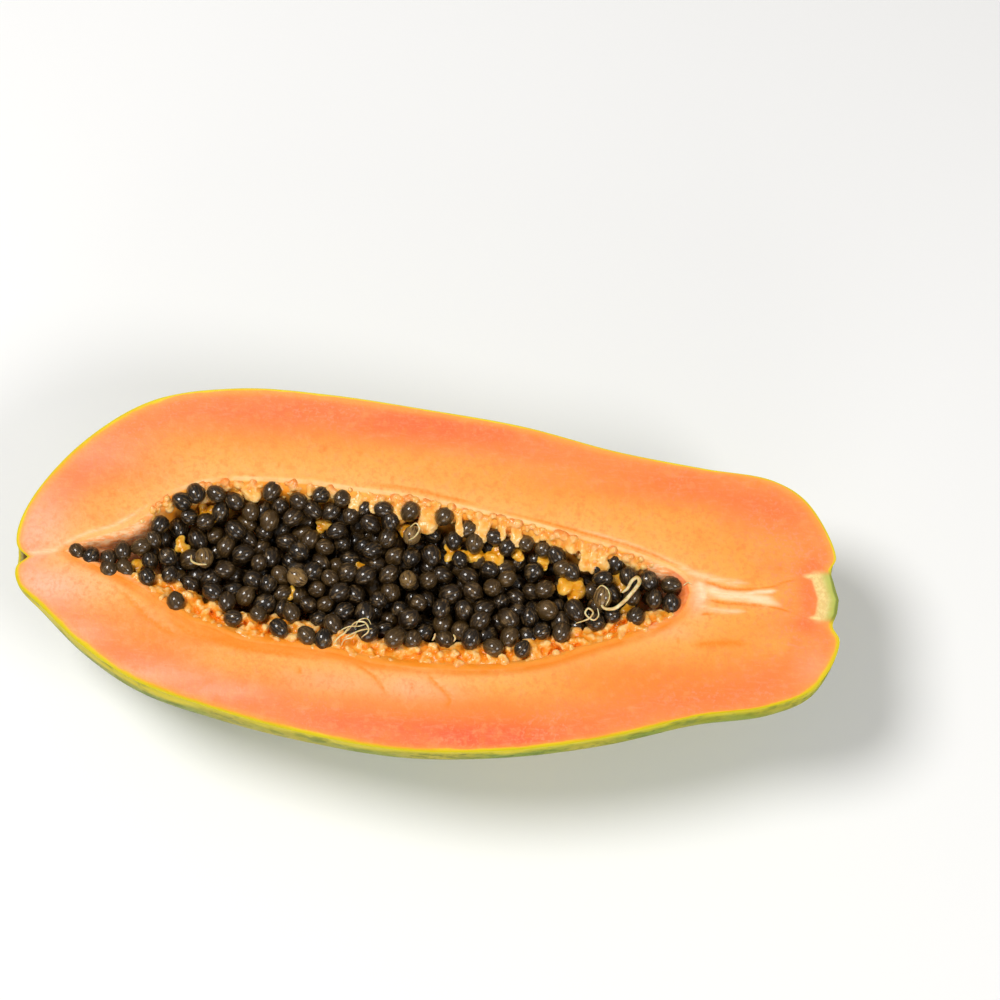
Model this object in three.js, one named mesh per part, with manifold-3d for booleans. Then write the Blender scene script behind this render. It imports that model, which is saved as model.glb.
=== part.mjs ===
// Half of a ripe papaya, cut lengthwise and lying on its back with the cut face up. Millimetres, +Z up.
// The whole fruit is drawn first, hollowed by its seed chamber, then halved by one flat cut.
// Two pieces: the half itself (rind, flesh and the crumbly pulp on the chamber wall, grown as one),
// and the black seeds, which stand out of one dark core and fill the chamber.
import * as THREE from "three";
import { mergeVertices } from "three/addons/utils/BufferGeometryUtils.js";
import Module from "manifold-3d";

const wasm = await Module();
wasm.setup();

// Driving dimensions. The blossom end points to -X and the stem end to +X. The cut face is z = 0 here,
// and the finished group is lifted so that the flat spot under the back is z = 0.
// Edge of the cut face on the far (+Y) side, x and y, from the blossom scar to the stem scar.
const FAR_EDGE = [
  [-120.5, 0.3], [-124.0, 3.6], [-124.4, 9.8], [-120.2, 21.4], [-107, 39], [-88, 52.8],
  [-62, 58.2], [-34, 57.6], [-4, 54.4], [26, 50.4], [55, 43.8], [82, 39.7],
  [103, 36.9], [113.6, 30.3], [122.2, 13.4], [120.7, 9.3], [121.7, 4.9], [123.1, 0.2],
];
// The same on the near (-Y) side.
const NEAR_EDGE = [
  [-120.5, 0.3], [-123.6, -3.0], [-122.6, -8.0], [-114.8, -14.8], [-102, -25.6], [-85, -35.8],
  [-62, -43.0], [-34, -49.2], [-4, -52.9], [26, -51.3], [55, -45.9], [82, -37.9],
  [104, -33.5], [116.8, -26.9], [123.5, -12.8], [121.4, -8.1], [122.6, -4.0], [123.1, 0.2],
];
// The back's lowest line under the fruit, x, y and z.
const KEEL = [
  [-120.5, 0.3, 0], [-124.0, 0.3, -3.6], [-123.6, 0.5, -9.5], [-117.5, 1, -20], [-105.5, 1.5, -32],
  [-87, 2, -42.5], [-62, 2, -49.5], [-34, 2, -53.2], [-4, 2, -54.2], [26, 1.5, -52],
  [55, 1, -46.5], [82, 1.5, -39.5], [103, 1.7, -33.5], [115.5, 1.2, -25], [121.6, 0.8, -12.5],
  [120.5, 0.6, -8.8], [122.3, 0.4, -5.0], [123.1, 0.2, 0],
];
const FLAT_SPOT_SINK = 0.7; // how far the back is pressed flat where it rests
const RIBS_ROUND = 5;
const RIB_HEIGHT = { middle: 0.012, ends: 0.035 }; // share of the radius
const SWELL = { middle: 0.05, ends: 1.3 }; // how far the back stands out past the edge, just below it

// The seed chamber: x, far edge y, near edge y, depth below the cut.
const CHAMBER = [
  [-110.3, 3.3, 2.7, 0], [-107, 6.0, 1.4, 2.2], [-100, 8.8, -1.4, 5.5], [-91, 12.8, -4.9, 10],
  [-80, 22.6, -10.8, 16], [-70, 27.2, -16.8, 19.5], [-56, 29.0, -21.4, 22.5], [-40, 29.0, -23.2, 24.5],
  [-20, 27.4, -26.2, 25.5], [0, 25.0, -27.8, 25.5], [20, 21.6, -27.4, 24], [38, 17.6, -24.0, 20.5],
  [56, 13.0, -17.4, 15.5], [68, 9.3, -12.2, 10.5], [75, 6.4, -8.0, 6.5], [79.2, 1.3, 0.7, 0],
];

const SEED = { across: 5.9, long: 6.9 };
const SEED_PACK = 2.7; // packing radius of a mean seed
const SEED_SIZES = 0.12; // each seed is up to this share larger or smaller
const SEED_FACETS = { round: 6, along: 3 };
const FACET_GROW = 1.08; // a seed's corners stand this much out, so that its facets keep its bulk
const SEED_TRIES = 60; // places looked at for each seed, of which it takes the lowest
const SEED_MISSES = 60; // the heap is full when this many seeds in a row found no place
const HEAP_LEVEL = { near: -1.5, far: -5.5 }; // highest seed centre at each side of the chamber
const HEAP_HOLLOWS = [
  [-50, 10.5, 9, 4.5], [-39, -6, 7, 3.5], [-67, 14, 6, 2.5], [-4, 2, 8, 2.2], [29, -3, 8, 2],
  [-103, 3, 18, -3.2], [76, -2, 9, -2.5],
]; // x, y, radius, depth of each hollow in the heap, or with a minus sign, height of a rise
const CORE_UNDER_LEVEL = 2.9; // the core's top under the highest seed centres
const CORE_OFF_WALL = 3.4;
const SEED_STAND = 1.2; // a seed that stands less than this out of the core is left inside it
const GAP = 0.4; // free space between the seeds and the wall

// Crumbs of pulp: how many, their radii, and how far across the chamber they lie, -1 near to 1 far.
const PULP_NEAR = { count: 60, small: 1.4, large: 2.7, across: [-0.97, -0.7] };
const PULP_FAR = { count: 34, small: 1.4, large: 2.4, across: [0.9, 0.98] };
const PULP_ALONG = [-88, 72];
const PULP_SUNK = 0.2; // share of a crumb's radius that its centre lies under the wall

const COLOURS = { half: "#f99a4c", seeds: "#2d241b" };

// Seeded draw from 0 to 1, by whole-number steps that give the same row of numbers everywhere.
let drawState = 20719;
function draw() {
  drawState = (Math.imul(drawState, 1664525) + 1013904223) >>> 0;
  return drawState / 4294967296;
}
const between = (low, high) => low + (high - low) * draw();

// ---- the whole fruit -------------------------------------------------------------------------

const curveOf = (points) =>
  new THREE.CatmullRomCurve3(
    points.map(([x, y, z = 0]) => new THREE.Vector3(x, y, z)),
    false,
    "centripetal",
  );
const farEdge = curveOf(FAR_EDGE);
const nearEdge = curveOf(NEAR_EDGE);
const keel = curveOf(KEEL);

function ribHeight(t) {
  const end = Math.abs(2 * t - 1) ** 2;
  return RIB_HEIGHT.middle + (RIB_HEIGHT.ends - RIB_HEIGHT.middle) * end;
}

function swell(t) {
  const end = Math.abs(2 * t - 1);
  return SWELL.middle + SWELL.ends * end * end * (1 - end);
}

// A point of the skin: t from blossom end to stem end, turn from 0 (far edge) by 90 (keel) to 180 degrees.
function skinPoint(t, turn) {
  const under = keel.getPoint(t);
  const side = (Math.cos(turn) >= 0 ? farEdge : nearEdge).getPoint(t);
  const c = Math.abs(Math.cos(turn));
  const s = Math.sin(turn);
  const rib = 1 + ribHeight(t) * Math.cos(RIBS_ROUND * (turn - Math.PI / 2)) * s;
  return [
    under.x + (side.x - under.x) * c * c,
    under.y + (side.y - under.y) * c * rib * (1 + swell(t) * s),
    under.z * s * rib,
  ];
}

// A closed solid through equal rings of points, drawn to one point at each end.
function loft(start, rings, end) {
  const count = rings[0].length;
  const points = [start, ...rings.flat(), end];
  const last = points.length - 1;
  const at = (ring, i) => 1 + ring * count + (i % count);
  const faces = [];
  for (let i = 0; i < count; i++) {
    faces.push([0, at(0, i + 1), at(0, i)]);
    faces.push([last, at(rings.length - 1, i), at(rings.length - 1, i + 1)]);
    for (let r = 0; r + 1 < rings.length; r++) {
      faces.push([at(r, i), at(r, i + 1), at(r + 1, i + 1)]);
      faces.push([at(r, i), at(r + 1, i + 1), at(r + 1, i)]);
    }
  }
  return facingOut(points.flat(), faces.flat());
}

function facingOut(vertProperties, triVerts) {
  const made = solid(vertProperties, triVerts);
  if (made.volume() > 0) return made;
  for (let i = 0; i < triVerts.length; i += 3)
    [triVerts[i + 1], triVerts[i + 2]] = [triVerts[i + 2], triVerts[i + 1]];
  return solid(vertProperties, triVerts);
}

function solid(vertProperties, triVerts) {
  return new wasm.Manifold(
    new wasm.Mesh({
      numProp: 3,
      vertProperties: new Float32Array(vertProperties),
      triVerts: new Uint32Array(triVerts),
    }),
  );
}

// A three.js geometry as a solid, turned and moved by matrix.
function solidOf(geometry, matrix = new THREE.Matrix4()) {
  const bare = new THREE.BufferGeometry();
  bare.setAttribute("position", geometry.getAttribute("position").clone());
  bare.setIndex(geometry.index);
  const merged = mergeVertices(bare.applyMatrix4(matrix), 1e-4);
  return facingOut([...merged.attributes.position.array], withoutSlivers([...merged.index.array]));
}

// Triangles that merging has drawn to a line, at the poles of a sphere, are left out.
function withoutSlivers(triVerts) {
  const kept = [];
  for (let i = 0; i < triVerts.length; i += 3) {
    const [a, b, c] = triVerts.slice(i, i + 3);
    if (a !== b && b !== c && c !== a) kept.push(a, b, c);
  }
  return kept;
}

function box(low, high) {
  const size = high.map((h, i) => h - low[i]);
  const middle = high.map((h, i) => (h + low[i]) / 2);
  return solidOf(
    new THREE.BoxGeometry(...size),
    new THREE.Matrix4().makeTranslation(...middle),
  );
}

const STATIONS = 42;
const STEPS_ROUND = 32;

function wholeFruit() {
  const rings = [];
  for (let i = 1; i < STATIONS; i++) {
    const ring = [];
    for (let k = 0; k < STEPS_ROUND; k++) {
      const turn = (2 * Math.PI * k) / STEPS_ROUND;
      const [x, y, z] = skinPoint(i / STATIONS, turn <= Math.PI ? turn : 2 * Math.PI - turn);
      ring.push([x, y, turn <= Math.PI ? z : -z]);
    }
    rings.push(ring);
  }
  return loft(skinPoint(0, 0), rings, skinPoint(1, 0));
}

// ---- the seed chamber ------------------------------------------------------------------------

// The chamber at x: far edge, near edge and depth, by straight steps between the listed places.
function chamberAt(x) {
  let i = 0;
  while (i + 2 < CHAMBER.length && x > CHAMBER[i + 1][0]) i++;
  const [a, b] = [CHAMBER[i], CHAMBER[i + 1]];
  const f = (x - a[0]) / (b[0] - a[0]);
  return {
    far: a[1] + (b[1] - a[1]) * f,
    near: a[2] + (b[2] - a[2]) * f,
    depth: a[3] + (b[3] - a[3]) * f,
  };
}

// Depth of the chamber's wall as a share of its depth there; across is -1 at the near edge, 1 at the far.
// The near side slopes down from the cut, under its thicker pulp, and the far side is steep.
function wallShape(across) {
  const even = Math.max(1 - across * across, 0);
  return across < 0 ? even * Math.sqrt(even) : Math.sqrt(even);
}

// How far across the chamber y is, from -1 to 1. The deepest line is midway between the edges.
function acrossAt(place, y) {
  const middle = (place.far + place.near) / 2;
  return (y - middle) / ((place.far - place.near) / 2);
}

// Height of the chamber's wall at x, y, or of the cut face outside its edge.
function wallHeight(x, y) {
  if (x <= CHAMBER[0][0] || x >= CHAMBER[CHAMBER.length - 1][0]) return 0;
  const place = chamberAt(x);
  return -place.depth * wallShape(acrossAt(place, y));
}

const FINE_STEPS = { along: 32, across: 10 };
const COARSE_STEPS = { along: 16, across: 6 };

const THINNEST = 0.05; // half width and depth that the chamber keeps at its ends

// The whole chamber, drawn in from the wall by margin, and closed above the cut by its mirror image.
function chamber(margin, steps) {
  const [first, last] = [CHAMBER[0], CHAMBER[CHAMBER.length - 1]];
  const [low, high] = [first[0] + 2 * margin, last[0] - 2 * margin];
  const rings = [];
  for (let i = 1; i < steps.along; i++) {
    const x = low + ((high - low) * (1 - Math.cos((Math.PI * i) / steps.along))) / 2;
    const place = chamberAt(x);
    const middle = (place.far + place.near) / 2;
    const half = Math.max((place.far - place.near) / 2 - margin, THINNEST);
    const depth = Math.max(place.depth - margin, THINNEST);
    const ring = [];
    for (let k = 0; k < 2 * steps.across; k++) {
      const across = Math.cos((Math.PI * k) / steps.across);
      const z = depth * wallShape(across);
      ring.push([x, middle + half * across, k <= steps.across ? -z : z]);
    }
    rings.push(ring);
  }
  const endAt = (place, x) => [x, (place[1] + place[2]) / 2, 0];
  return loft(endAt(first, low), rings, endAt(last, high));
}

// ---- pulp: crumbs of soft tissue along the chamber wall ---------------------------------------

function crumbRow({ count, small, large, across }) {
  const row = [];
  const spacing = (PULP_ALONG[1] - PULP_ALONG[0]) / count;
  for (let i = 0; i < count; i++) {
    const x = PULP_ALONG[0] + spacing * (i + draw());
    const { near, far } = chamberAt(x);
    const y = (far + near) / 2 + (between(...across) * (far - near)) / 2;
    const r = between(small, large);
    row.push({ x, y, z: wallHeight(x, y) - PULP_SUNK * r, r });
  }
  return row;
}

// ---- seeds -----------------------------------------------------------------------------------

function heapLevel(x, y) {
  const place = chamberAt(x);
  const share = (acrossAt(place, y) + 1) / 2;
  let level = HEAP_LEVEL.near + (HEAP_LEVEL.far - HEAP_LEVEL.near) * share;
  for (const [hx, hy, radius, depth] of HEAP_HOLLOWS) {
    const off = ((x - hx) * (x - hx) + (y - hy) * (y - hy)) / (radius * radius);
    if (off < 1) level -= depth * (1 - off) * (1 - off);
  }
  return level;
}

const LOOK_ROUND = [
  [1, 0], [0, 1], [-1, 0], [0, -1], [0.7, 0.7], [-0.7, 0.7], [-0.7, -0.7], [0.7, -0.7],
];
const LOOK_OUT = [0.6, 1];

// Height at which a ball of radius clear just touches the wall at x, y.
function heightOnWall(x, y, clear) {
  let height = wallHeight(x, y) + clear;
  for (const out of LOOK_OUT) {
    const reach = out * clear;
    const rise = Math.sqrt(clear * clear - reach * reach);
    for (const [dx, dy] of LOOK_ROUND)
      height = Math.max(height, wallHeight(x + dx * reach, y + dy * reach) + rise);
  }
  return height;
}

// Height at which a ball of radius r at x, y rests on the other balls, or height if that is higher.
function heightOnBalls(x, y, r, height, balls) {
  let top = height;
  for (const ball of balls) {
    const [dx, dy, sum] = [x - ball.x, y - ball.y, r + ball.r];
    const off = dx * dx + dy * dy;
    if (off < sum * sum) top = Math.max(top, ball.z + Math.sqrt(sum * sum - off));
  }
  return top;
}

// Lowest height for the centre of a seed at x, y. A seed keeps its whole length and the gap off the
// wall and the pulp, but lies closer to the other seeds.
function restingHeight(x, y, size, crumbs, seeds) {
  const clear = (SEED.long / 2) * FACET_GROW * size + GAP;
  const onCrumbs = heightOnBalls(x, y, clear, heightOnWall(x, y, clear), crumbs);
  return heightOnBalls(x, y, SEED_PACK * size, onCrumbs, seeds);
}

// Seeds are dropped in one by one, each into the lowest of a few places drawn at random, until the
// heap has reached its level everywhere.
function packedSeeds(crumbs) {
  const seeds = [];
  for (let misses = 0; misses < SEED_MISSES; ) {
    const size = 1 + SEED_SIZES * (2 * draw() - 1);
    const place = lowestPlace(size, crumbs, seeds);
    const axis = [draw() - 0.5, draw() - 0.5, 0.6 * (draw() - 0.5)];
    if (place) seeds.push({ ...place, r: SEED_PACK * size, size, axis });
    misses = place ? 0 : misses + 1;
  }
  return seeds;
}

function lowestPlace(size, crumbs, seeds) {
  const [low, high] = [CHAMBER[0][0], CHAMBER[CHAMBER.length - 1][0]];
  let best = null;
  for (let i = 0; i < SEED_TRIES; i++) {
    const x = between(low, high);
    const { near, far } = chamberAt(x);
    const y = between(near, far);
    const z = restingHeight(x, y, size, crumbs, seeds);
    if (z < heapLevel(x, y) && (best === null || z < best.z)) best = { x, y, z };
  }
  return best;
}

function crumbSolid({ x, y, z, r }) {
  const turned = new THREE.Matrix4().makeRotationFromEuler(new THREE.Euler(x, y, z));
  return solidOf(new THREE.IcosahedronGeometry(r, 0), turned.setPosition(x, y, z));
}

function seedSolid(seed) {
  const radius = (SEED.across / 2) * FACET_GROW;
  const shape = new THREE.SphereGeometry(radius, SEED_FACETS.round, SEED_FACETS.along);
  const turn = new THREE.Quaternion().setFromUnitVectors(
    new THREE.Vector3(0, 1, 0),
    new THREE.Vector3(...seed.axis).normalize(),
  );
  const stretch = new THREE.Vector3(seed.size, (seed.size * SEED.long) / SEED.across, seed.size);
  const place = new THREE.Vector3(seed.x, seed.y, seed.z);
  return solidOf(shape, new THREE.Matrix4().compose(place, turn, stretch));
}

// A block that holds the whole chamber, and the steps of its waved top.
const CORE_BLOCK = { nearest: -32, furthest: 34, bottom: -40 };
const CORE_GRID = { along: 24, across: 6 };

// Everything under the heap's core level.
function underCoreLevel() {
  const [low, high] = [CHAMBER[0][0], CHAMBER[CHAMBER.length - 1][0]];
  const { nearest, furthest, bottom } = CORE_BLOCK;
  const geometry = new THREE.BoxGeometry(
    high - low, furthest - nearest, 1, CORE_GRID.along, CORE_GRID.across, 1,
  );
  const position = geometry.getAttribute("position");
  for (let i = 0; i < position.count; i++) {
    const x = position.getX(i) + (low + high) / 2;
    const y = position.getY(i) + (nearest + furthest) / 2;
    const top = heapLevel(x, THREE.MathUtils.clamp(y, chamberAt(x).near, chamberAt(x).far));
    position.setXYZ(i, x, y, position.getZ(i) > 0 ? top - CORE_UNDER_LEVEL : bottom);
  }
  return solidOf(geometry);
}

function biggestBody(made) {
  return made.decompose().reduce((a, b) => (a.volume() > b.volume() ? a : b));
}

const union = (solids) => wasm.Manifold.union(solids);

// ---- the two pieces --------------------------------------------------------------------------

const crumbs = [...crumbRow(PULP_NEAR), ...crumbRow(PULP_FAR)];
const seeds = packedSeeds(crumbs);
const FAR_AWAY = 200;
const aboveCut = box([-FAR_AWAY, -FAR_AWAY, 0], [FAR_AWAY, FAR_AWAY, FAR_AWAY]);
const lowest = Math.min(...KEEL.map((point) => point[2])) + FLAT_SPOT_SINK;
const underFlatSpot = box([-FAR_AWAY, -FAR_AWAY, -FAR_AWAY], [FAR_AWAY, FAR_AWAY, lowest]);

function halfSolid() {
  const hollowed = wholeFruit().subtract(chamber(0, FINE_STEPS));
  const grown = union([hollowed, ...crumbs.map(crumbSolid)]);
  return biggestBody(grown.subtract(aboveCut).subtract(underFlatSpot));
}

function standsOut(seed) {
  return seed.z + seed.r > heapLevel(seed.x, seed.y) - CORE_UNDER_LEVEL + SEED_STAND;
}

function seedsSolid() {
  const core = underCoreLevel().intersect(chamber(CORE_OFF_WALL, COARSE_STEPS));
  return biggestBody(union([core, ...seeds.filter(standsOut).map(seedSolid)]));
}

function meshOf(name, made, material) {
  const { numProp, vertProperties, triVerts } = made.getMesh();
  const geometry = new THREE.BufferGeometry();
  geometry.setAttribute("position", new THREE.BufferAttribute(new Float32Array(vertProperties), numProp));
  geometry.setIndex(new THREE.BufferAttribute(new Uint32Array(triVerts), 1));
  const mesh = new THREE.Mesh(geometry, new THREE.MeshStandardMaterial(material));
  mesh.name = name;
  return mesh;
}

const group = new THREE.Group();
const half = halfSolid();
const heap = seedsSolid();
group.add(
  meshOf("papaya_half", half, { color: COLOURS.half, roughness: 0.4, metalness: 0 }),
  meshOf("seeds", heap, { color: COLOURS.seeds, roughness: 0.25, metalness: 0 }),
);
const { min, max } = half.boundingBox();
group.position.set(-(min[0] + max[0]) / 2, -(min[1] + max[1]) / 2, -lowest);

export default group;
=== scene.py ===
# Half of a ripe papaya on its back: glossy mottled rind, banded orange flesh, a chamber walled with
# crumbly pulp, and a heap of wet black seeds. Lengths below are millimetres, turned to metres as the
# meshes are made. The blossom end points to -X and the stem end to +X, and the cut face looks up.
import math

import bmesh
import bpy
import numpy as np
from mathutils import Matrix, Vector, noise


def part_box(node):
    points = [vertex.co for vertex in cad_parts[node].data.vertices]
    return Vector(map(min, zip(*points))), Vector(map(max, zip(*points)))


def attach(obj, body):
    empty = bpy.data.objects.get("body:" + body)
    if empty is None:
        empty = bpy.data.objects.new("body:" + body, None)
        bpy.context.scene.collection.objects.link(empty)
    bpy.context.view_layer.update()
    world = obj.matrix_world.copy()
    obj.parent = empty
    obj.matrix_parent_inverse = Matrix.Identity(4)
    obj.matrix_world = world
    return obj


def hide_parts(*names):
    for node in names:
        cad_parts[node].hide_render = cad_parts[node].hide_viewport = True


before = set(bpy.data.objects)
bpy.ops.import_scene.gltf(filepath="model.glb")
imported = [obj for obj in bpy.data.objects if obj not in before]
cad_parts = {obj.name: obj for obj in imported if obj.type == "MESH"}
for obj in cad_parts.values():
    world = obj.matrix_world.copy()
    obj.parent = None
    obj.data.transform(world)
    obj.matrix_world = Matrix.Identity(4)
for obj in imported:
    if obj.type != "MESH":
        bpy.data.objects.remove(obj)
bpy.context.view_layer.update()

MM = 0.001
half_low, half_high = (np.array(corner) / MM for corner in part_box("papaya_half"))
CUT_HEIGHT = half_high[2]

# ---- form: the same lines that the solids are drawn by ----

# Edge of the cut face on the far (+Y) side, x and y, from the blossom scar to the stem scar.
FAR_EDGE = [
    (-120.5, 0.3), (-124, 3.6), (-124.4, 9.8), (-120.2, 21.4), (-107, 39), (-88, 52.8), (-62, 58.2),
    (-34, 57.6), (-4, 54.4), (26, 50.4), (55, 43.8), (82, 39.7), (103, 36.9), (113.6, 30.3), (122.2, 13.4),
    (120.7, 9.3), (121.7, 4.9), (123.1, 0.2),
]
# The same on the near (-Y) side.
NEAR_EDGE = [
    (-120.5, 0.3), (-123.6, -3), (-122.6, -8), (-114.8, -14.8), (-102, -25.6), (-85, -35.8), (-62, -43),
    (-34, -49.2), (-4, -52.9), (26, -51.3), (55, -45.9), (82, -37.9), (104, -33.5), (116.8, -26.9),
    (123.5, -12.8), (121.4, -8.1), (122.6, -4), (123.1, 0.2),
]
# The back's lowest line under the fruit.
KEEL = [
    (-120.5, 0.3, 0), (-124, 0.3, -3.6), (-123.6, 0.5, -9.5), (-117.5, 1, -20), (-105.5, 1.5, -32),
    (-87, 2, -42.5), (-62, 2, -49.5), (-34, 2, -53.2), (-4, 2, -54.2), (26, 1.5, -52), (55, 1, -46.5),
    (82, 1.5, -39.5), (103, 1.7, -33.5), (115.5, 1.2, -25), (121.6, 0.8, -12.5), (120.5, 0.6, -8.8),
    (122.3, 0.4, -5), (123.1, 0.2, 0),
]
RIBS_ROUND = 5
RIB_MIDDLE, RIB_ENDS = 0.012, 0.035  # rib height as a share of the radius
SWELL_MIDDLE, SWELL_ENDS = 0.05, 1.3  # how far the back stands out past the edge, just below it

# The seed chamber: x, far edge y, near edge y, depth below the cut.
CHAMBER = np.array([
    (-110.3, 3.3, 2.7, 0), (-107, 6, 1.4, 2.2), (-100, 8.8, -1.4, 5.5), (-91, 12.8, -4.9, 10),
    (-80, 22.6, -10.8, 16), (-70, 27.2, -16.8, 19.5), (-56, 29, -21.4, 22.5), (-40, 29, -23.2, 24.5),
    (-20, 27.4, -26.2, 25.5), (0, 25, -27.8, 25.5), (20, 21.6, -27.4, 24), (38, 17.6, -24, 20.5),
    (56, 13, -17.4, 15.5), (68, 9.3, -12.2, 10.5), (75, 6.4, -8, 6.5), (79.2, 1.3, 0.7, 0),
])
# The chamber's edge as the eye sees it, blunter at the stem end and with a waved near side.
RIM_FAR = [
    (-110.3, 3), (-105.3, 6.8), (-100.6, 8.5), (-90.2, 13.1), (-83.6, 19.5), (-79.7, 23), (-70.7, 27),
    (-60.8, 28.8), (-48.3, 29), (-37, 28.8), (-23.8, 27.4), (-10.1, 26.4), (1.6, 24.8), (16.3, 22.2),
    (30.9, 19.4), (45.6, 15.8), (60.2, 12.1), (68.7, 9.3), (75.2, 6.5), (78.2, 3.6), (79.2, 0.6),
]
RIM_NEAR = [
    (-110.3, 3), (-104.5, 0.2), (-98.3, -2), (-92, -4.4), (-83.4, -9), (-77.1, -12.4), (-71, -16.4),
    (-62.7, -19), (-54, -22), (-42.9, -22.9), (-26.5, -24.6), (-15.3, -26.9), (-6.4, -27.6), (2.5, -27.8),
    (16.2, -27.6), (27.6, -26.3), (38.7, -23.6), (49.8, -19.3), (61.2, -15.3), (72.3, -10), (77.4, -5.2),
    (79.2, 0.6),
]


def eased(a, b, start, end, w):
    """The curve from a to b that leaves with one slope and arrives with another, at w from 0 to 1."""
    return a + start * w + (3 * (b - a) - 2 * start - end) * w**2 + (2 * (a - b) + start + end) * w**3


def through(points, t):
    """Points at t, 0 to 1, on the smooth centripetal curve through the given points."""
    p = np.array([tuple(point) + (0,) * (3 - len(point)) for point in points], float)
    p = np.vstack([2 * p[0] - p[1], p, 2 * p[-1] - p[-2]])
    at = np.clip(np.asarray(t, float), 0, 1) * (len(points) - 1)
    i = np.minimum(at.astype(int), len(points) - 2)
    w = (at - i)[:, None]
    gap = np.sum(np.diff(p, axis=0) ** 2, axis=1) ** 0.25
    before, here, after = gap[i][:, None], gap[i + 1][:, None], gap[i + 2][:, None]
    a, b, c, d = p[i], p[i + 1], p[i + 2], p[i + 3]
    start = ((b - a) / before - (c - a) / (before + here) + (c - b) / here) * here
    end = ((c - b) / here - (d - b) / (here + after) + (d - c) / after) * here
    return eased(b, c, start, end, w)


def skin_points(t, turn):
    """The skin at t along the fruit and turn round it: 0 at the far edge, pi at the near one."""
    under = through(KEEL, t)
    side = np.where((np.cos(turn) >= 0)[:, None], through(FAR_EDGE, t), through(NEAR_EDGE, t))
    c, s = np.abs(np.cos(turn)), np.sin(turn)
    end = np.abs(2 * t - 1)
    rib = 1 + (RIB_MIDDLE + (RIB_ENDS - RIB_MIDDLE) * end**2) * np.cos(RIBS_ROUND * (turn - math.pi / 2)) * s
    swell = 1 + (SWELL_MIDDLE + SWELL_ENDS * end * end * (1 - end)) * s
    x = under[:, 0] + (side[:, 0] - under[:, 0]) * c * c
    y = under[:, 1] + (side[:, 1] - under[:, 1]) * c * rib * swell
    return np.stack([x, y, under[:, 2] * s * rib], axis=1)


def chamber_at(x):
    """Far edge, near edge and depth of the chamber at x, by straight steps between the listed places."""
    x = np.asarray(x, float)
    i = np.clip(np.searchsorted(CHAMBER[:, 0], x, side="left") - 1, 0, len(CHAMBER) - 2)
    a, b = CHAMBER[i], CHAMBER[i + 1]
    f = (x - a[..., 0]) / (b[..., 0] - a[..., 0])
    return tuple(a[..., k] + (b[..., k] - a[..., k]) * f for k in (1, 2, 3))


def wall_shape(across):
    """Depth of the chamber's wall as a share of its depth there, from -1 near to 1 far."""
    even = np.maximum(1 - across * across, 0)
    return np.where(across < 0, even * np.sqrt(even), np.sqrt(even))


def across_at(far, near, y):
    """Where y lies across the chamber, from -1 near to 1 far."""
    middle = (far + near) / 2
    return (y - middle) / ((far - near) / 2)


def wall_height(x, y):
    """Height of the chamber's wall at x, y, or of the cut face outside its edge."""
    far, near, depth = chamber_at(x)
    inside = (x > CHAMBER[0, 0]) & (x < CHAMBER[-1, 0])
    return np.where(inside, -depth * wall_shape(across_at(far, near, y)), 0.0)


# The skin, drawn finely, is centred on the origin and drawn in by a hair, so that it stays in the box.
sample = np.meshgrid(np.linspace(0, 1, 401), np.linspace(0, math.pi, 41))
skin_sample = skin_points(sample[0].ravel(), sample[1].ravel())[:, :2]
skin_low, skin_high = skin_sample.min(axis=0), skin_sample.max(axis=0)
TO_FRAME = -(skin_low + skin_high) / 2
DRAWN_IN = 0.1
FIT = ((half_high - half_low)[:2] - DRAWN_IN) / (skin_high - skin_low)


def placed(points):
    """Points in the fruit's own lines, with the cut face at height 0, as places in the frame, in metres."""
    moved = np.array(points, float)
    moved[:, :2] = (moved[:, :2] + TO_FRAME) * FIT
    moved[:, 2] = np.maximum(moved[:, 2] + CUT_HEIGHT, 0)
    return moved * MM


# ---- small helpers ----


def finished(name):
    """The active object, named, with its place in its mesh."""
    piece = bpy.context.object
    bpy.ops.object.transform_apply(location=True, rotation=True, scale=True)
    piece.name = piece.data.name = name
    return piece


def choose(*objects):
    """Selects these objects alone, and makes the last one active."""
    bpy.ops.object.select_all(action="DESELECT")
    for each in objects:
        each.select_set(True)
    bpy.context.view_layer.objects.active = objects[-1]


def started(name, primitive, **settings):
    """A new primitive, added with nothing else selected."""
    bpy.ops.object.select_all(action="DESELECT")
    primitive(**settings)
    return finished(name)


def vertices(piece, what="co"):
    """The places, or the normals, of a mesh's vertices."""
    flat = np.empty(3 * len(piece.data.vertices))
    piece.data.vertices.foreach_get(what, flat)
    return flat.reshape(-1, 3)


def move_vertices(piece, points):
    """Puts a mesh's vertices at these places."""
    piece.data.vertices.foreach_set("co", np.ascontiguousarray(points).ravel())
    piece.data.update()


def store(piece, **values):
    """Keeps a number at each vertex, under its name, for the materials to follow."""
    for name, numbers in values.items():
        layer = piece.data.attributes.new(name, "FLOAT", "POINT")
        layer.data.foreach_set("value", np.asarray(numbers, float))


def bell(away, width):
    """1 in the middle, falling softly to nearly 0 at about twice the width."""
    return np.exp(-((away / width) ** 2))


def grown(at, start, over):
    """0 up to the start, and from there straight up to 1 over a length."""
    return np.clip((at - start) / over, 0, 1)


def noise_at(points, size, seed=0):
    """Smooth noise, -1 to 1, with bumps of about size millimetres."""
    away = Vector((seed * 17.3, seed * 5.1, seed * 9.7))
    return np.array([noise.noise(Vector(p) / size + away) for p in points])


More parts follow.
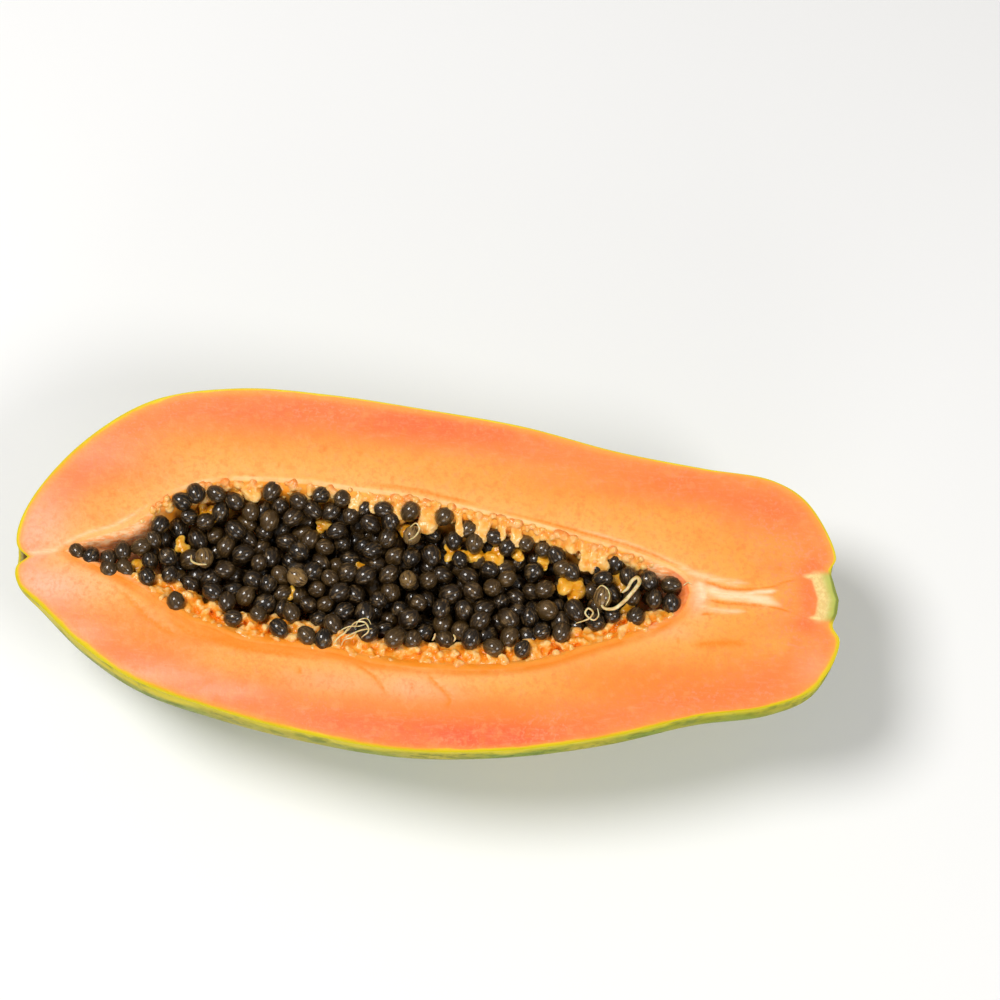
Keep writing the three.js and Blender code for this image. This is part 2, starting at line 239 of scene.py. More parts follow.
class Draw:
    """Numbers from 0 to 1 in a row that is the same everywhere."""

    FACTOR, STEP, RANGE = 1664525, 1013904223, 2**32

    def __init__(self, state):
        self.state = state

    def __call__(self, low=0.0, high=1.0):
        self.state = (self.state * self.FACTOR + self.STEP) % self.RANGE
        return low + (high - low) * (self.state / self.RANGE)

    def pair(self, most):
        """Two numbers from -most to most."""
        return self(-most, most), self(-most, most)

    def axis(self):
        """A direction that leans any way but lies more level than it stands."""
        return self() - 0.5, self() - 0.5, 0.6 * (self() - 0.5)


def along_line(line):
    """Points along the smooth line through a few places, six from one to the next."""
    return through(line, np.linspace(0, 1, 6 * (len(line) - 1) + 1))


def line_nearness(points, line, width, tail=0.25):
    """1 on a smooth line through a few places, falling to 0 at about its width, thinner at its ends."""
    path = along_line(line)[:, :2]
    count = len(path)
    away = np.full(len(points), np.inf)
    along = np.zeros(len(points))
    for i, (a, b) in enumerate(zip(path[:-1], path[1:])):
        share = np.clip(((points[:, :2] - a) @ (b - a)) / ((b - a) @ (b - a)), 0, 1)
        off = np.linalg.norm(points[:, :2] - a - share[:, None] * (b - a), axis=1)
        along = np.where(off < away, (i + share) / (count - 1), along)
        away = np.minimum(away, off)
    to_end = np.minimum(along, 1 - along) / tail
    local = width * np.clip(0.35 + to_end, 0.35, 1)
    return np.exp(-2 * (away / local) ** 2) * np.clip(0.3 + to_end, 0, 1)


def patch_nearness(points, places):
    """1 in the middle of the listed soft-edged ovals: x, y, half length, half width and amount."""
    total = np.zeros(len(points))
    for x, y, long, wide, amount in places:
        off = ((points[:, 0] - x) / long) ** 2 + ((points[:, 1] - y) / wide) ** 2
        total = np.maximum(total, amount * np.exp(-off))
    return total


def round_scar(points, x, y, z, radius):
    """1 inside a round scar, falling to 0 just outside its edge."""
    away = np.linalg.norm(points - np.array((x, y, z)), axis=1)
    return np.clip(radius - away + 0.5, 0, 1)


# ---- the half: rind, cut face and chamber wall in one closed mesh ----

STATIONS = 400  # steps from end to end
TURNS = 48  # steps round the back, from edge to edge
CUT_RINGS, WALL_RINGS = 44, 26

# The cut face has the knife's waves and smaller ripples, and is sunk so that none stands above the cut.
WAVE_HEIGHT, WAVE_SIZE = 0.14, 22
RIPPLE_HEIGHT, RIPPLE_SIZE = 0.07, 4.5
CUT_SUNK = 0.28
# The far lip has a low ridge a little way out from the chamber and drops at its edge. The near lip only
# drops, further and more softly.
FAR_LIP, FAR_LIP_OUT, FAR_LIP_WIDTH = 0.22, 0.8, 0.7
RIM_DROP, RIM_DROP_WIDTH = 0.3, 0.4
NEAR_DROP, NEAR_DROP_WIDTH = 0.75, 1.7
FAR_OFF = 9  # a distance that counts as far from an edge
# Where a change starts, and over what length it comes in. Below 0, the length runs the other way.
TAIL_END, STEM_END = (-80, -8), (62, 6)  # fibres at both ends of the chamber's wall, along the fruit
RECESS_SHADE = 71, 4  # painted shade and warm bounced light on the wall of the hollow at the stem end of the chamber, along the fruit
STEM, STEM_WIDTH, STEM_DEEP = (108, 3), 8.6, (7.2, -1.6)  # along, half width, and in from the rind
PALE_FAR_LIP = -92, 14  # along the fruit
GREEN_NEAR, GREEN_FAR = (-30, 60), (-6, 26)  # the rind's greener side: along the fruit, and across it

# Lines on the cut face: places, width, and how deep they are sunk, or with a minus sign, raised.
ORANGE_LINES = [
    ([(2, -28.1), (3, -30.4), (4.6, -32.2), (9, -36.1), (8.9, -37.7), (7.8, -39.6)], 0.95, 0.35),
    ([(-20.2, -27.2), (-16.9, -28.8), (-13, -31.7), (-9.6, -36.4)], 0.85, 0.25),
    ([(-35.7, -28.8), (-36.1, -31.6)], 0.8, 0.2),
    ([(-93.5, -7.5), (-88, -11.5), (-82.9, -16.4), (-78.5, -19), (-74.7, -20.9),
      (-71, -21.6)], 1.3, 0.12),
    ([(-76, -16.4), (-70.4, -20), (-62.2, -22.1), (-53.9, -24.2), (-42.8, -25.2),
      (-29.1, -26.9)], 1.6, 0.1),
    ([(79.6, -16.2), (85.3, -15.3), (90.9, -14.8), (97, -14.6)], 1.6, 0.14),
    ([(82.7, 3.9), (85.6, 3.2), (88.6, 2.3), (92.4, 2), (96.3, 2.2), (100, 2.7)], 0.8, 0.3),
    ([(98.5, 2.6), (103.9, 3.6), (106.9, 5), (110.7, 6.2)], 0.45, 0.12),
    ([(84.6, -1.8), (87.6, -2.3), (92.5, -2.5), (97.9, -2.6), (102.4, -2.9)], 0.75, 0.35),
    ([(101.4, -2.9), (105.5, -3.4), (109.3, -4.4)], 0.45, 0.12),
    ([(82, -6.4), (86.2, -6.2)], 0.6, 0.05),
    ([(22, 22.6), (36, 19.5), (47, 17), (58, 14.2), (67, 11.6), (74, 8.6)], 0.9, 0.14),
    ([(-20, 29.2), (-8, 28.6), (4, 26.4), (14, 24.4)], 0.8, 0.08),
]
PALE_LINES = [
    ([(80.4, -3.6), (85.8, -4.9), (90.3, -5), (95.6, -4.9)], 1.2, 0),
    ([(72, 10.6), (79, 6.4), (85, 5), (91, 4), (96.2, 4)], 1.5, 0),
    ([(44, 18.3), (56, 15.4), (66, 12.2), (76, 8.2)], 0.8, 0),
    ([(79, 4), (80.6, 0), (80.2, -4.2)], 2.4, 0),
    ([(-122.8, 0.4), (-117.5, 2), (-110.8, 3.2)], 1.2, 0.1),
    ([(-112, 4), (-104.5, 8.4), (-95, 12.2), (-86, 18.9)], 0.9, -0.05),
]
# The cream tongue in the stem end's core, which splits in two.
CREAM_LINES = [
    ([(82, 2.2), (85.4, 1.2), (88.5, 0.1), (92.5, -0.2), (97.1, -0.6), (102, -1.2),
      (105.5, -2.3)], 2.4, -0.08),
    ([(94, 0), (98, 1.2), (101.5, 1.6), (104.5, 2.2)], 1, 0),
    ([(81, 3.6), (82.2, 1), (82.6, -2.4)], 1.8, 0),
]

# Places on the cut face that are redder, paler or like the stem: x, y, half length, half width, amount.
RED_PLACES = [
    (-5.5, 49.1, 40, 6, 0.6), (-48, 50, 26, 8, 0.5), (2, -49.5, 40, 3.4, 0.7), (-98, 30, 20, 9, 0.4),
    (16, -45.5, 34, 7.5, 1.1), (-14, -45, 26, 7.5, 0.7), (-50, -38, 30, 6, 0.35), (-79, -26, 14, 7, 0.5),
    (72, -29, 22, 7, 0.5), (70, 34, 20, 6, 0.4), (100, 27, 18, 6, 0.3), (113.4, 0.9, 2.8, 5.4, 0.95),
    (109.8, 0.6, 3, 3.6, 0.3), (113, -8, 3.4, 3, 0.6), (107, -11.6, 5, 2, 0.3),
    (115.5, 10.5, 2.4, 3.4, 0.45), (-2, -51, 26, 3.6, 0.75), (-84, -17, 12, 4.5, 0.35),
    (40, -38, 14, 5, 0.4),
]
PALE_PLACES = [
    (-119, 8, 11, 13, 0.8), (-114, -8, 15, 7, 0.95), (-104, 35, 16, 6, 0.3), (-104, -22, 9, 4, 0.5),
    (-82, -34, 20, 3.5, 0.6), (80.6, -1, 3.4, 5.5, 0.9), (73, -12, 8, 3, 0.3), (-100, 4.5, 10, 3, 0.5),
    (116, -21, 5, 5, 0.4), (-24, -33, 16, 4, 0.35), (-2, -33.6, 14, 4, 0.55), (-58, -37.5, 12, 3, 0.5),
]
WARM_PLACES = [
    (8, -40, 44, 5, 0.7), (62, -28, 30, 8, 0.7), (-45, -31, 30, 4.5, 0.5), (100, -18, 16, 7, 0.5),
    (40, 34, 40, 6, 0.35), (-40, 42, 50, 6, 0.3), (-66, -22.5, 12, 2.4, 0.9), (-50, -26, 22, 1.6, 0.5),
    (-92, -17, 14, 4.5, 0.6), (-100, 14, 10, 3, 0.35), (-81, -23, 12, 5, 0.95),
]
GOLD_PLACES = [
    (96, 1, 17, 9, 0.95), (104, -14, 12, 6, 0.6), (62, 22, 40, 5, 0.4), (100, 16, 18, 7, 0.5),
    (-30, -29, 30, 2.5, 0.4), (0, 36, 60, 5, 0.4),
]
STEM_PLACES = [(115.4, 7.2, 3.6, 1.2, 1.0), (117.0, -5.8, 3.4, 0.9, 1.0)]
# Corky scars on the rind: x, y, z, radius.
STALK_SCAR = (121.0, 0.3, 0.0, 9.4)
FLOWER_SCAR = (-120.5, 0.3, 0.0, 3.4)
FLOWER_PIT = (-120.5, 0.3, 0.0, 2.2)
# Brownish flecks on the cut face: x, y, half length, half width, amount.
MARKS = [
    (54.4, 8, 2.6, 0.7, 0.9), (-80.8, 33.5, 0.5, 1, 0.8), (-75.2, 39.3, 0.5, 0.9, 0.6),
    (-59.9, 39.5, 0.5, 1.1, 0.7), (-55, 29.9, 0.9, 0.6, 0.9), (-33.9, 40, 0.5, 1, 0.7),
    (-23.2, 39, 0.6, 1, 0.8), (-1.6, 36.2, 0.5, 1.2, 0.8), (-96.5, 22, 1.2, 0.6, 0.5),
    (30.5, 44.5, 0.5, 1.1, 0.5), (19.5, 42, 0.5, 0.9, 0.5), (104.8, 8.6, 1.2, 1, 0.4),
    (-47.6, 33.8, 0.5, 0.9, 0.6), (-12.6, 31.6, 0.5, 0.9, 0.6), (12.8, 30.2, 0.5, 1, 0.6),
    (37.5, 26.6, 0.5, 0.9, 0.5), (-103, 14, 0.9, 0.5, 0.5), (-64, 46, 0.6, 1, 0.5), (68, 25, 0.5, 0.9, 0.4),
    (22, -33.6, 0.6, 1, 0.5), (-2.5, -33.5, 0.6, 1.1, 0.6), (42, -31, 0.5, 1, 0.5),
    (60, -24, 0.5, 0.9, 0.4), (-42, -36.5, 0.6, 0.9, 0.4),
]


def arc_share(points):
    """How far along its own line each point lies, 0 to 1."""
    step = np.linalg.norm(np.diff(points, axis=0), axis=1)
    total = np.concatenate([[0], np.cumsum(step)])
    return total / total[-1]


def rim_point(share, rim):
    """The chamber's edge on one side at a share of its length."""
    line = through(rim, np.linspace(0, 1, 1600))[:, :2]
    at = arc_share(line)
    return np.stack([np.interp(share, at, line[:, k]) for k in (0, 1)], axis=1)


def rims_at(t):
    """The chamber's edge on the far and the near side, for each t along the fruit."""
    fine = np.linspace(0, 1, 2401)
    both = []
    for rim_line, half_turn in ((RIM_FAR, 0.0), (RIM_NEAR, math.pi)):
        edge = skin_points(fine, np.full(len(fine), half_turn))
        both.append(rim_point(np.interp(t, fine, arc_share(edge)), rim_line))
    return both


SPINE_SHORT = 9, 7  # how far the chamber's deepest line stops short of its two tips


def spine_point(x):
    """The chamber's middle line, which stops short of its two tips."""
    low, high = CHAMBER[0, 0] + SPINE_SHORT[0], CHAMBER[-1, 0] - SPINE_SHORT[1]
    share = (x - CHAMBER[0, 0]) / (CHAMBER[-1, 0] - CHAMBER[0, 0])
    at = low + (high - low) * share
    far, near = chamber_at(at)[:2]
    return np.stack([at, (far + near) / 2], axis=1)


def half_shell():
    """A sphere with its poles at the two ends, opened at the cut, its edge drawn in ring by ring."""
    shell = started(
        "rind_and_flesh", bpy.ops.mesh.primitive_uv_sphere_add,
        segments=2 * TURNS, ring_count=STATIONS, radius=1, rotation=(0, math.pi / 2, 0),
    )
    bpy.ops.object.mode_set(mode="EDIT")
    bpy.ops.mesh.select_all(action="SELECT")
    bpy.ops.mesh.bisect(plane_co=(0, 0, 0), plane_no=(0, 0, 1), clear_outer=True)
    bpy.ops.mesh.select_mode(type="EDGE")
    bpy.ops.mesh.select_all(action="DESELECT")
    bpy.ops.mesh.select_non_manifold()
    mesh = bmesh.from_edit_mesh(shell.data)
    mesh.verts.layers.int.new("ring")
    bmesh.update_edit_mesh(shell.data)
    for ring in range(1, CUT_RINGS + WALL_RINGS + 1):
        bpy.ops.mesh.extrude_edges_move()
        mesh = bmesh.from_edit_mesh(shell.data)
        layer = mesh.verts.layers.int["ring"]
        for vert in mesh.verts:
            if vert.select:
                vert[layer] = ring
    bpy.ops.object.mode_set(mode="OBJECT")
    return shell


def cut_relief(points, rim_distance, skin_distance, nearness):
    """The cut face isn't quite flat: the knife's slow waves, a raised lip on the far side of the seeds
    and a rounded one on the near side, sunk lines and pale ridges."""
    waves = WAVE_HEIGHT * noise_at(points, WAVE_SIZE, 1)
    relief = waves + RIPPLE_HEIGHT * noise_at(points, RIPPLE_SIZE, 2) - CUT_SUNK
    lip = FAR_LIP * bell(rim_distance - FAR_LIP_OUT, FAR_LIP_WIDTH)
    lip -= RIM_DROP * np.exp(-rim_distance / RIM_DROP_WIDTH)
    relief += lip + nearness * (-NEAR_DROP * bell(rim_distance, NEAR_DROP_WIDTH) - lip)
    for line, width, depth in ORANGE_LINES + PALE_LINES + CREAM_LINES:
        if depth:
            relief -= depth * line_nearness(points, line, width)
    return np.minimum(relief, 0.0) * np.clip(skin_distance / 1.5, 0, 1)


def smooth_chamber(x):
    """The chamber's rows at x without the corners at the listed places."""
    rows = CHAMBER
    slope = np.gradient(rows[:, 1:], rows[:, 0], axis=0)
    i = np.clip(np.searchsorted(rows[:, 0], x) - 1, 0, len(rows) - 2)
    span = (rows[i + 1, 0] - rows[i, 0])[:, None]
    w = np.clip((x - rows[i, 0])[:, None] / span, 0, 1)
    return eased(rows[i, 1:], rows[i + 1, 1:], slope[i] * span, slope[i + 1] * span, w)


# The wall leaves the rim at a slope and is steep past a reach, which is shorter on the near side.
LIP_SLOPE, LIP_REACH, NEAR_SHORTER = 0.5, 3.1, 0.5
LEAST_SLOPE = 0.3
WALL_LUMPS, LUMP_SIZE, SMALL_LUMP_SIZE = 0.45, 2.6, 1.2


def lip_height(inward, nearness=0):
    """How the chamber's wall rolls in from the rim."""
    return -(LIP_SLOPE * inward + (inward / (LIP_REACH - NEAR_SHORTER * nearness)) ** 3)


def wall_points(rim, spine, down, nearness):
    """The chamber's wall: down is 0 at the rim and 1 on the deepest line. It rolls in from a soft lip."""
    plan = spine + (rim - spine) * (np.cos(down * math.pi / 2) ** 0.9)[:, None]
    rows = smooth_chamber(plan[:, 0])
    far, near, depth = rows[:, 0], rows[:, 1], np.maximum(rows[:, 2], 0.3)
    height = -depth * wall_shape(np.clip(across_at(far, near, plan[:, 1]), -1, 1))
    inward = np.linalg.norm(plan - rim, axis=1)
    height = np.minimum(np.maximum(height, lip_height(inward, nearness)), -LEAST_SLOPE * inward)
    points = np.column_stack([plan, height])
    lumpy = WALL_LUMPS * np.clip(inward / 3, 0, 1)
    points[:, 2] += lumpy * (noise_at(points, LUMP_SIZE, 5) + 0.6 * noise_at(points, SMALL_LUMP_SIZE, 6))
    level = np.zeros(len(rim))
    at_rim = cut_relief(np.column_stack([rim, level]), level, level + FAR_OFF, nearness)
    points[:, 2] += at_rim * bell(inward, 1.5)
    return points, inward


def build_half():
    """The shell's rings are laid over the back, the cut face and the chamber's wall."""
    shell = half_shell()
    base = vertices(shell)
    ring = np.empty(len(base), int)
    shell.data.attributes["ring"].data.foreach_get("value", ring)
    shell.data.attributes.remove(shell.data.attributes["ring"])
    t = 1 - np.arctan2(np.hypot(base[:, 1], base[:, 2]), base[:, 0]) / math.pi
    turn = np.arctan2(np.maximum(-base[:, 2], 0), base[:, 1])
    on_edge = ring > 0
    turn[on_edge] = np.where(base[on_edge, 1] >= -1e-6, 0, math.pi)
    points = skin_points(t, turn)

    far_rim, near_rim = rims_at(t)
    rim = np.where((turn == 0)[:, None], far_rim, near_rim)
    spine = spine_point((far_rim[:, 0] + near_rim[:, 0]) / 2)
    edge = points[:, :2].copy()
    inward = np.minimum(ring / CUT_RINGS, 1.0)
    across_cut = np.linalg.norm(rim - edge, axis=1)
    skin_distance, rim_distance = across_cut * inward, across_cut * (1 - inward)
    on_cut, on_wall = on_edge & (ring <= CUT_RINGS), ring > CUT_RINGS
    points[on_edge, :2] = (edge + (rim - edge) * inward[:, None])[on_edge]
    points[on_edge, 2] = 0
    from_tip = np.minimum(rim[:, 0] - RIM_FAR[0][0], RIM_FAR[-1][0] - rim[:, 0])
    near = 0.5 + np.where(turn == 0, -0.5, 0.5) * np.sin(np.clip(from_tip / 7, 0, 1) * math.pi / 2)
    points[on_cut, 2] = cut_relief(points[on_cut], rim_distance[on_cut], skin_distance[on_cut], near[on_cut])
    down = (ring[on_wall] - CUT_RINGS) / WALL_RINGS
    points[on_wall], rim_distance[on_wall] = wall_points(rim[on_wall], spine[on_wall], down, near[on_wall])
    rim_distance[on_wall] *= -1

    move_vertices(shell, placed(points))
    x, y, z = points.T
    near_side, far_side = grown(x, *GREEN_NEAR), grown(y, *GREEN_FAR)
    store(
        shell,
        from_skin=np.where(on_edge, skin_distance, 0),
        from_rim=np.where(on_edge, rim_distance, FAR_OFF),
        band=np.where(on_edge, inward, 0),
        under_cut=np.where(on_edge, 0, -z),
        # Where the near lip rounds down into the chamber, for its painted shade.
        near_lip=np.where(on_edge, near * bell(rim_distance, 2.3), 0),
        far_lip=np.where(on_edge, (1 - near) * np.maximum(grown(x, *PALE_FAR_LIP), 0.35), 0),
        tail=np.where(on_wall, np.maximum(grown(x, *TAIL_END), grown(x, *STEM_END)), 0),
        recess=np.where(on_wall, grown(x, *RECESS_SHADE), 0),
        scar=np.maximum(round_scar(points, *STALK_SCAR), round_scar(points, *FLOWER_SCAR)),
        pit=round_scar(points, *FLOWER_PIT),
        green_side=near_side + (0.9 - near_side) * far_side,
    )
    at_edge = (ring == 0) & (z > -0.01)
    store_cut_colours(shell, points, on_cut | at_edge, skin_distance)
    for polygon in shell.data.polygons:
        polygon.material_index = int(any(on_edge[v] for v in polygon.vertices))
    choose(shell)
    bpy.ops.object.mode_set(mode="EDIT")
    bpy.ops.mesh.select_all(action="SELECT")
    bpy.ops.mesh.remove_doubles(threshold=0.00001)
    bpy.ops.mesh.normals_make_consistent(inside=False)
    bpy.ops.object.mode_set(mode="OBJECT")
    bpy.ops.object.shade_smooth_by_angle(angle=math.radians(60))
    return shell


def store_cut_colours(shell, points, on_cut, skin_distance):
    """Where the cut face is redder, warmer, paler, like the stem, or crossed by orange and pale lines."""
    cut = points[on_cut]
    places = {
        "red": RED_PLACES, "warm": WARM_PLACES, "gold": GOLD_PLACES, "pale": PALE_PLACES,
        "stem": STEM_PLACES, "mark": MARKS,
    }
    marks = {name: patch_nearness(cut, listed) for name, listed in places.items()}
    by_stem = grown(cut[:, 0], *STEM) * np.exp(-(((cut[:, 1] - 1.0) / STEM_WIDTH) ** 6))
    marks["stem"] = np.maximum(by_stem * grown(skin_distance[on_cut], *STEM_DEEP), marks["stem"])
    for name, lines in (("orange_line", ORANGE_LINES), ("pale_line", PALE_LINES), ("cream", CREAM_LINES)):
        marks[name] = np.max([line_nearness(cut, line, width) for line, width, _ in lines], axis=0)
    for name, values in marks.items():
        everywhere = np.zeros(len(points))
        everywhere[on_cut] = values
        store(shell, **{name: everywhere})


# ---- seeds: the same heap as the solids', by the same draws ----

SEED_ACROSS, SEED_LONG = 5.9, 6.9
SEED_PACK = 2.7  # packing radius of a mean seed
SEED_SIZES = 0.12  # how far a size strays from 1
FACET_GROW, GAP = 1.08, 0.4  # room for the solid seeds' corners, and between seeds and pulp
SEED_TRIES, SEED_MISSES = 60, 60  # places tried for each seed, and seeds left out in a row at the end
HEAP_NEAR, HEAP_FAR = -1.5, -5.5  # highest seed centre at each side of the chamber
# Hollows in the heap, and with a minus sign, rises: x, y, radius and depth.
HEAP_HOLLOWS = [
    (-50, 10.5, 9, 4.5), (-39, -6, 7, 3.5), (-67, 14, 6, 2.5), (-4, 2, 8, 2.2), (29, -3, 8, 2),
    (-103, 3, 18, -3.2), (76, -2, 9, -2.5),
]
PULP_NEAR = (60, 1.4, 2.7, -0.97, -0.7)  # crumbs, smallest and largest radius, where across
PULP_FAR = (34, 1.4, 2.4, 0.9, 0.98)
PULP_ALONG = (-88, 72)
PULP_SUNK = 0.2  # as a share of the radius


def crumb_row(draw, row):
    """A row of crumbs of pulp along one side of the chamber, as x, y, z and radius."""
    count, small, large, inner, outer = row
    spacing = (PULP_ALONG[1] - PULP_ALONG[0]) / count
    crumbs = []
    for i in range(count):
        x = PULP_ALONG[0] + spacing * (i + draw())
        far, near = chamber_at(x)[:2]
        y = (far + near) / 2 + (draw(inner, outer) * (far - near)) / 2
        r = draw(small, large)
        crumbs.append((x, y, float(wall_height(x, y)) - PULP_SUNK * r, r))
    return crumbs


def heap_level(x, y):
    """The greatest height of a seed's centre at x, y."""
    far, near = chamber_at(x)[:2]
    share = (across_at(far, near, y) + 1) / 2
    level = HEAP_NEAR + (HEAP_FAR - HEAP_NEAR) * share
    for hx, hy, radius, depth in HEAP_HOLLOWS:
        off = ((x - hx) * (x - hx) + (y - hy) * (y - hy)) / (radius * radius)
        level = np.where(off < 1, level - depth * (1 - off) * (1 - off), level)
    return level


# Places on the ball that are tried against the wall, round it and out from its middle.
LOOK_ROUND = [(1, 0), (0, 1), (-1, 0), (0, -1), (0.7, 0.7), (-0.7, 0.7), (-0.7, -0.7), (0.7, -0.7)]
LOOK_OUT = (0.6, 1)


def height_on_wall(x, y, clear):
    """Height at which a ball that stays clear of the wall by so much rests on it."""
    height = wall_height(x, y) + clear
    for out in LOOK_OUT:
        reach = out * clear
        rise = math.sqrt(clear * clear - reach * reach)
        for dx, dy in LOOK_ROUND:
            height = np.maximum(height, wall_height(x + dx * reach, y + dy * reach) + rise)
    return height


def height_on_balls(x, y, r, height, balls):
    """Height at which balls of radius r at x, y rest on the other balls."""
    if not len(balls):
        return height
    dx, dy = x[:, None] - balls[:, 0], y[:, None] - balls[:, 1]
    total = r + balls[:, 3]
    off = dx * dx + dy * dy
    reach = total * total
    on = balls[:, 2] + np.sqrt(np.maximum(reach - off, 0))
    return np.maximum(height, np.where(off < reach, on, -np.inf).max(axis=1))


def packed_seeds():
    """The solids' heap: seeds dropped in one by one, each into the lowest of a few drawn places."""
    draw = Draw(20719)
    crumbs = np.array(crumb_row(draw, PULP_NEAR) + crumb_row(draw, PULP_FAR))
    low, high = CHAMBER[0, 0], CHAMBER[-1, 0]
    balls, seeds, misses = np.zeros((0, 4)), [], 0
    while misses < SEED_MISSES:
        size = 1 + SEED_SIZES * (2 * draw() - 1)
        numbers = np.array([draw() for _ in range(2 * SEED_TRIES)])
        x = low + (high - low) * numbers[0::2]
        far, near = chamber_at(x)[:2]
        y = near + (far - near) * numbers[1::2]
        clear = (SEED_LONG / 2) * FACET_GROW * size + GAP
        z = height_on_balls(x, y, clear, height_on_wall(x, y, clear), crumbs)
        z = height_on_balls(x, y, SEED_PACK * size, z, balls)
        axis = draw.axis()
        z = np.where(z < heap_level(x, y), z, np.inf)
        best = int(np.argmin(z))
        misses = misses + 1 if np.isinf(z[best]) else 0
        if misses == 0:
            seeds.append((x[best], y[best], z[best], size, axis))
            balls = np.vstack([balls, (x[best], y[best], z[best], SEED_PACK * size)])
    return seeds


# Seeds that lie apart from the heap: in the narrow tail, up against the far wall, on the near wall's
# pulp, in the stem end of the chamber, and a few tan ones on top. Each row has one height, then x, y of
# the centres.
TAIL_SEEDS = -2.2, [
    (-106.6, 3.7), (-102, 2.3), (-96.6, 1.8), (-96.3, -1.6), (-92.6, 4.5), (-91.4, -0.9), (-87.3, 6),
    (-84, 1.7), (-82.2, 13.2), (-83.6, 8.4), (-84.3, -3.6), (-78.8, 3.2), (-77.6, -2.3),
]
RIM_SEEDS = -1.9, [
    (-76.3, 21), (-72.2, 23.9), (-66, 24), (-60.3, 22.2), (-49.3, 26), (-41, 23.3), (-34.2, 25.3),
    (-27.6, 25), (-14.9, 21.9), (-6.8, 21.4), (3.7, 20.5),
]
FAR_SEEDS = -4.2, [
    (11.3, 17.6), (7, 13.8), (13.4, 13.1), (19.3, 15.6), (23.3, 12.9), (28.9, 14.3), (34, 13), (38.3, 10.6),
    (40, 6.6), (56.4, 9), (43, 5.8), (-74, 17.1), (-64.5, 19.1), (-55.4, 19.8), (-46.6, 22.2), (-49.4, 17),
    (-42.4, 18.6), (-36.6, 21.2), (-31, 21), (-24.6, 20.2), (-18.6, 17.7), (-12.4, 18.6), (-68.8, 15.6),
    (-20.6, 23),
]
NEAR_SEEDS = -1.6, [
    (-74.8, -10.6), (-57.3, -14.8), (-49.9, -13.4), (-43.3, -17.5), (-35, -19.2), (-29.9, -20),
    (-8.5, -18.6), (20.7, -19.7), (29.4, -19.6),
]
STEM_SEEDS = -2.4, [
    (73.2, 3), (73.5, -3.3), (66.4, 3.6), (68.3, -1.8), (61.6, -1.4), (62.7, -7.4), (52.4, 3.4),
    (60.2, 4.6),
]
TAN_SEEDS = -0.9, [(-67.6, 3.2), (-5.9, -0.3), (-5.6, 13.9), (-39.2, -1.2), (52.7, -3.1)]
SEED_ROOM = 4.3  # nearer than this to one of these, a seed of the heap gives way
# Length of each seed modelled, the dent in its side, and which noise it has.
SEED_KINDS = [(6.9, 0.0, 1), (6.5, 0.35, 2), (7.3, 0.15, 3), (6.7, 0.2, 4)]

# Bits of the inner pulp that show between the seeds: x, y, z, half width.
INNER_LUMPS = [
    (-69, 19.2, -5.4, 3), (-75.8, 9.2, -5.4, 2.4), (-20.6, 4.2, -5, 1.8), (42.4, 1.2, -4.4, 3.9),
    (7.6, 10.4, -4.8, 3.2), (14, 10, -5, 2.6), (19.6, 10.6, -4.8, 2.8), (-88.7, 0.8, -3.8, 2),
    (-41.7, -4.6, -4.8, 2), (26.2, 10.9, -5, 2.2), (33.5, 9.2, -5, 2.4), (-33.4, 17.8, -6.4, 2.4),
    (57.6, 3, -3.4, 2.8), (60, -5.4, -4.6, 2.8), (-53.5, 20.4, -6.2, 2.4), (-7.7, 17.4, -4.8, 2.6),
]
INNER_BALLS = 7  # of which each bit is made


def seeds_apart(draw):
    """The seeds apart from the heap, as x, y, z, size, axis and tone."""
    seeds = []
    for row in (TAIL_SEEDS, RIM_SEEDS, FAR_SEEDS, NEAR_SEEDS, STEM_SEEDS, TAN_SEEDS):
        height, centres = row
        for x, y in centres:
            size = draw(0.84, 0.98) if row is TAIL_SEEDS else draw(0.9, 1.04)
            axis = draw.axis()
            tone = draw(0.93, 1.0) if row is TAN_SEEDS else draw(0, 0.8)
            seeds.append((x, y, height + draw(-0.5, 0.5), size, axis, tone))
    return seeds


def over_pulp(x, y, z):
    """Whether a seed would hide one of the bits of inner pulp."""
    return any(math.hypot(x - px, y - py) < 0.75 * r and z > pz - 2 for px, py, pz, r in INNER_LUMPS)


def all_seeds():
    """The heap's seeds without those that give way, and the seeds apart."""
    draw = Draw(5)
    apart = seeds_apart(draw)
    places = np.array([seed[:3] for seed in apart])
    heap = []
    for seed in packed_seeds():
        tone = 0.86 * draw() ** 1.4
        free = np.linalg.norm(places - np.array(seed[:3]), axis=1).min() > SEED_ROOM
        if free and not over_pulp(*seed[:3]):
            heap.append((*seed, tone))
    return heap, apart


# A seed is narrower at one end than at the other, dented on one side and faintly lumpy.
SEED_TAPER, SEED_BLUNT, DENT_WIDTH = 0.09, 0.05, 1.6
SEED_LUMPS, SEED_LUMP_SIZE = 0.06, 2.4


def seed_model(long, dent, seed):
    """One seed in its gel coat: an egg with a blunt and a narrow end, lying along Z, in millimetres."""
    radius = SEED_ACROSS / 2
    model = started(
        "seed_model", bpy.ops.mesh.primitive_uv_sphere_add, segments=12, ring_count=6, radius=radius
    )
    points = vertices(model)
    end = points[:, 2] / radius
    points[:, :2] *= (1 - SEED_TAPER * end - SEED_BLUNT * end**2)[:, None]
    points[:, 0] -= dent * bell(points[:, 1], DENT_WIDTH) * (points[:, 0] > 0)
    points *= (1 + SEED_LUMPS * noise_at(points, SEED_LUMP_SIZE, seed))[:, None]
    points[:, 2] *= long / SEED_ACROSS
    move_vertices(model, points)
    bpy.ops.object.shade_smooth()
    return model


def moved_to(x, y, z):
    """Puts millimetres round the origin at a place in the fruit, in metres."""
    return Matrix.Translation(placed(np.array([(x, y, z)]))[0])


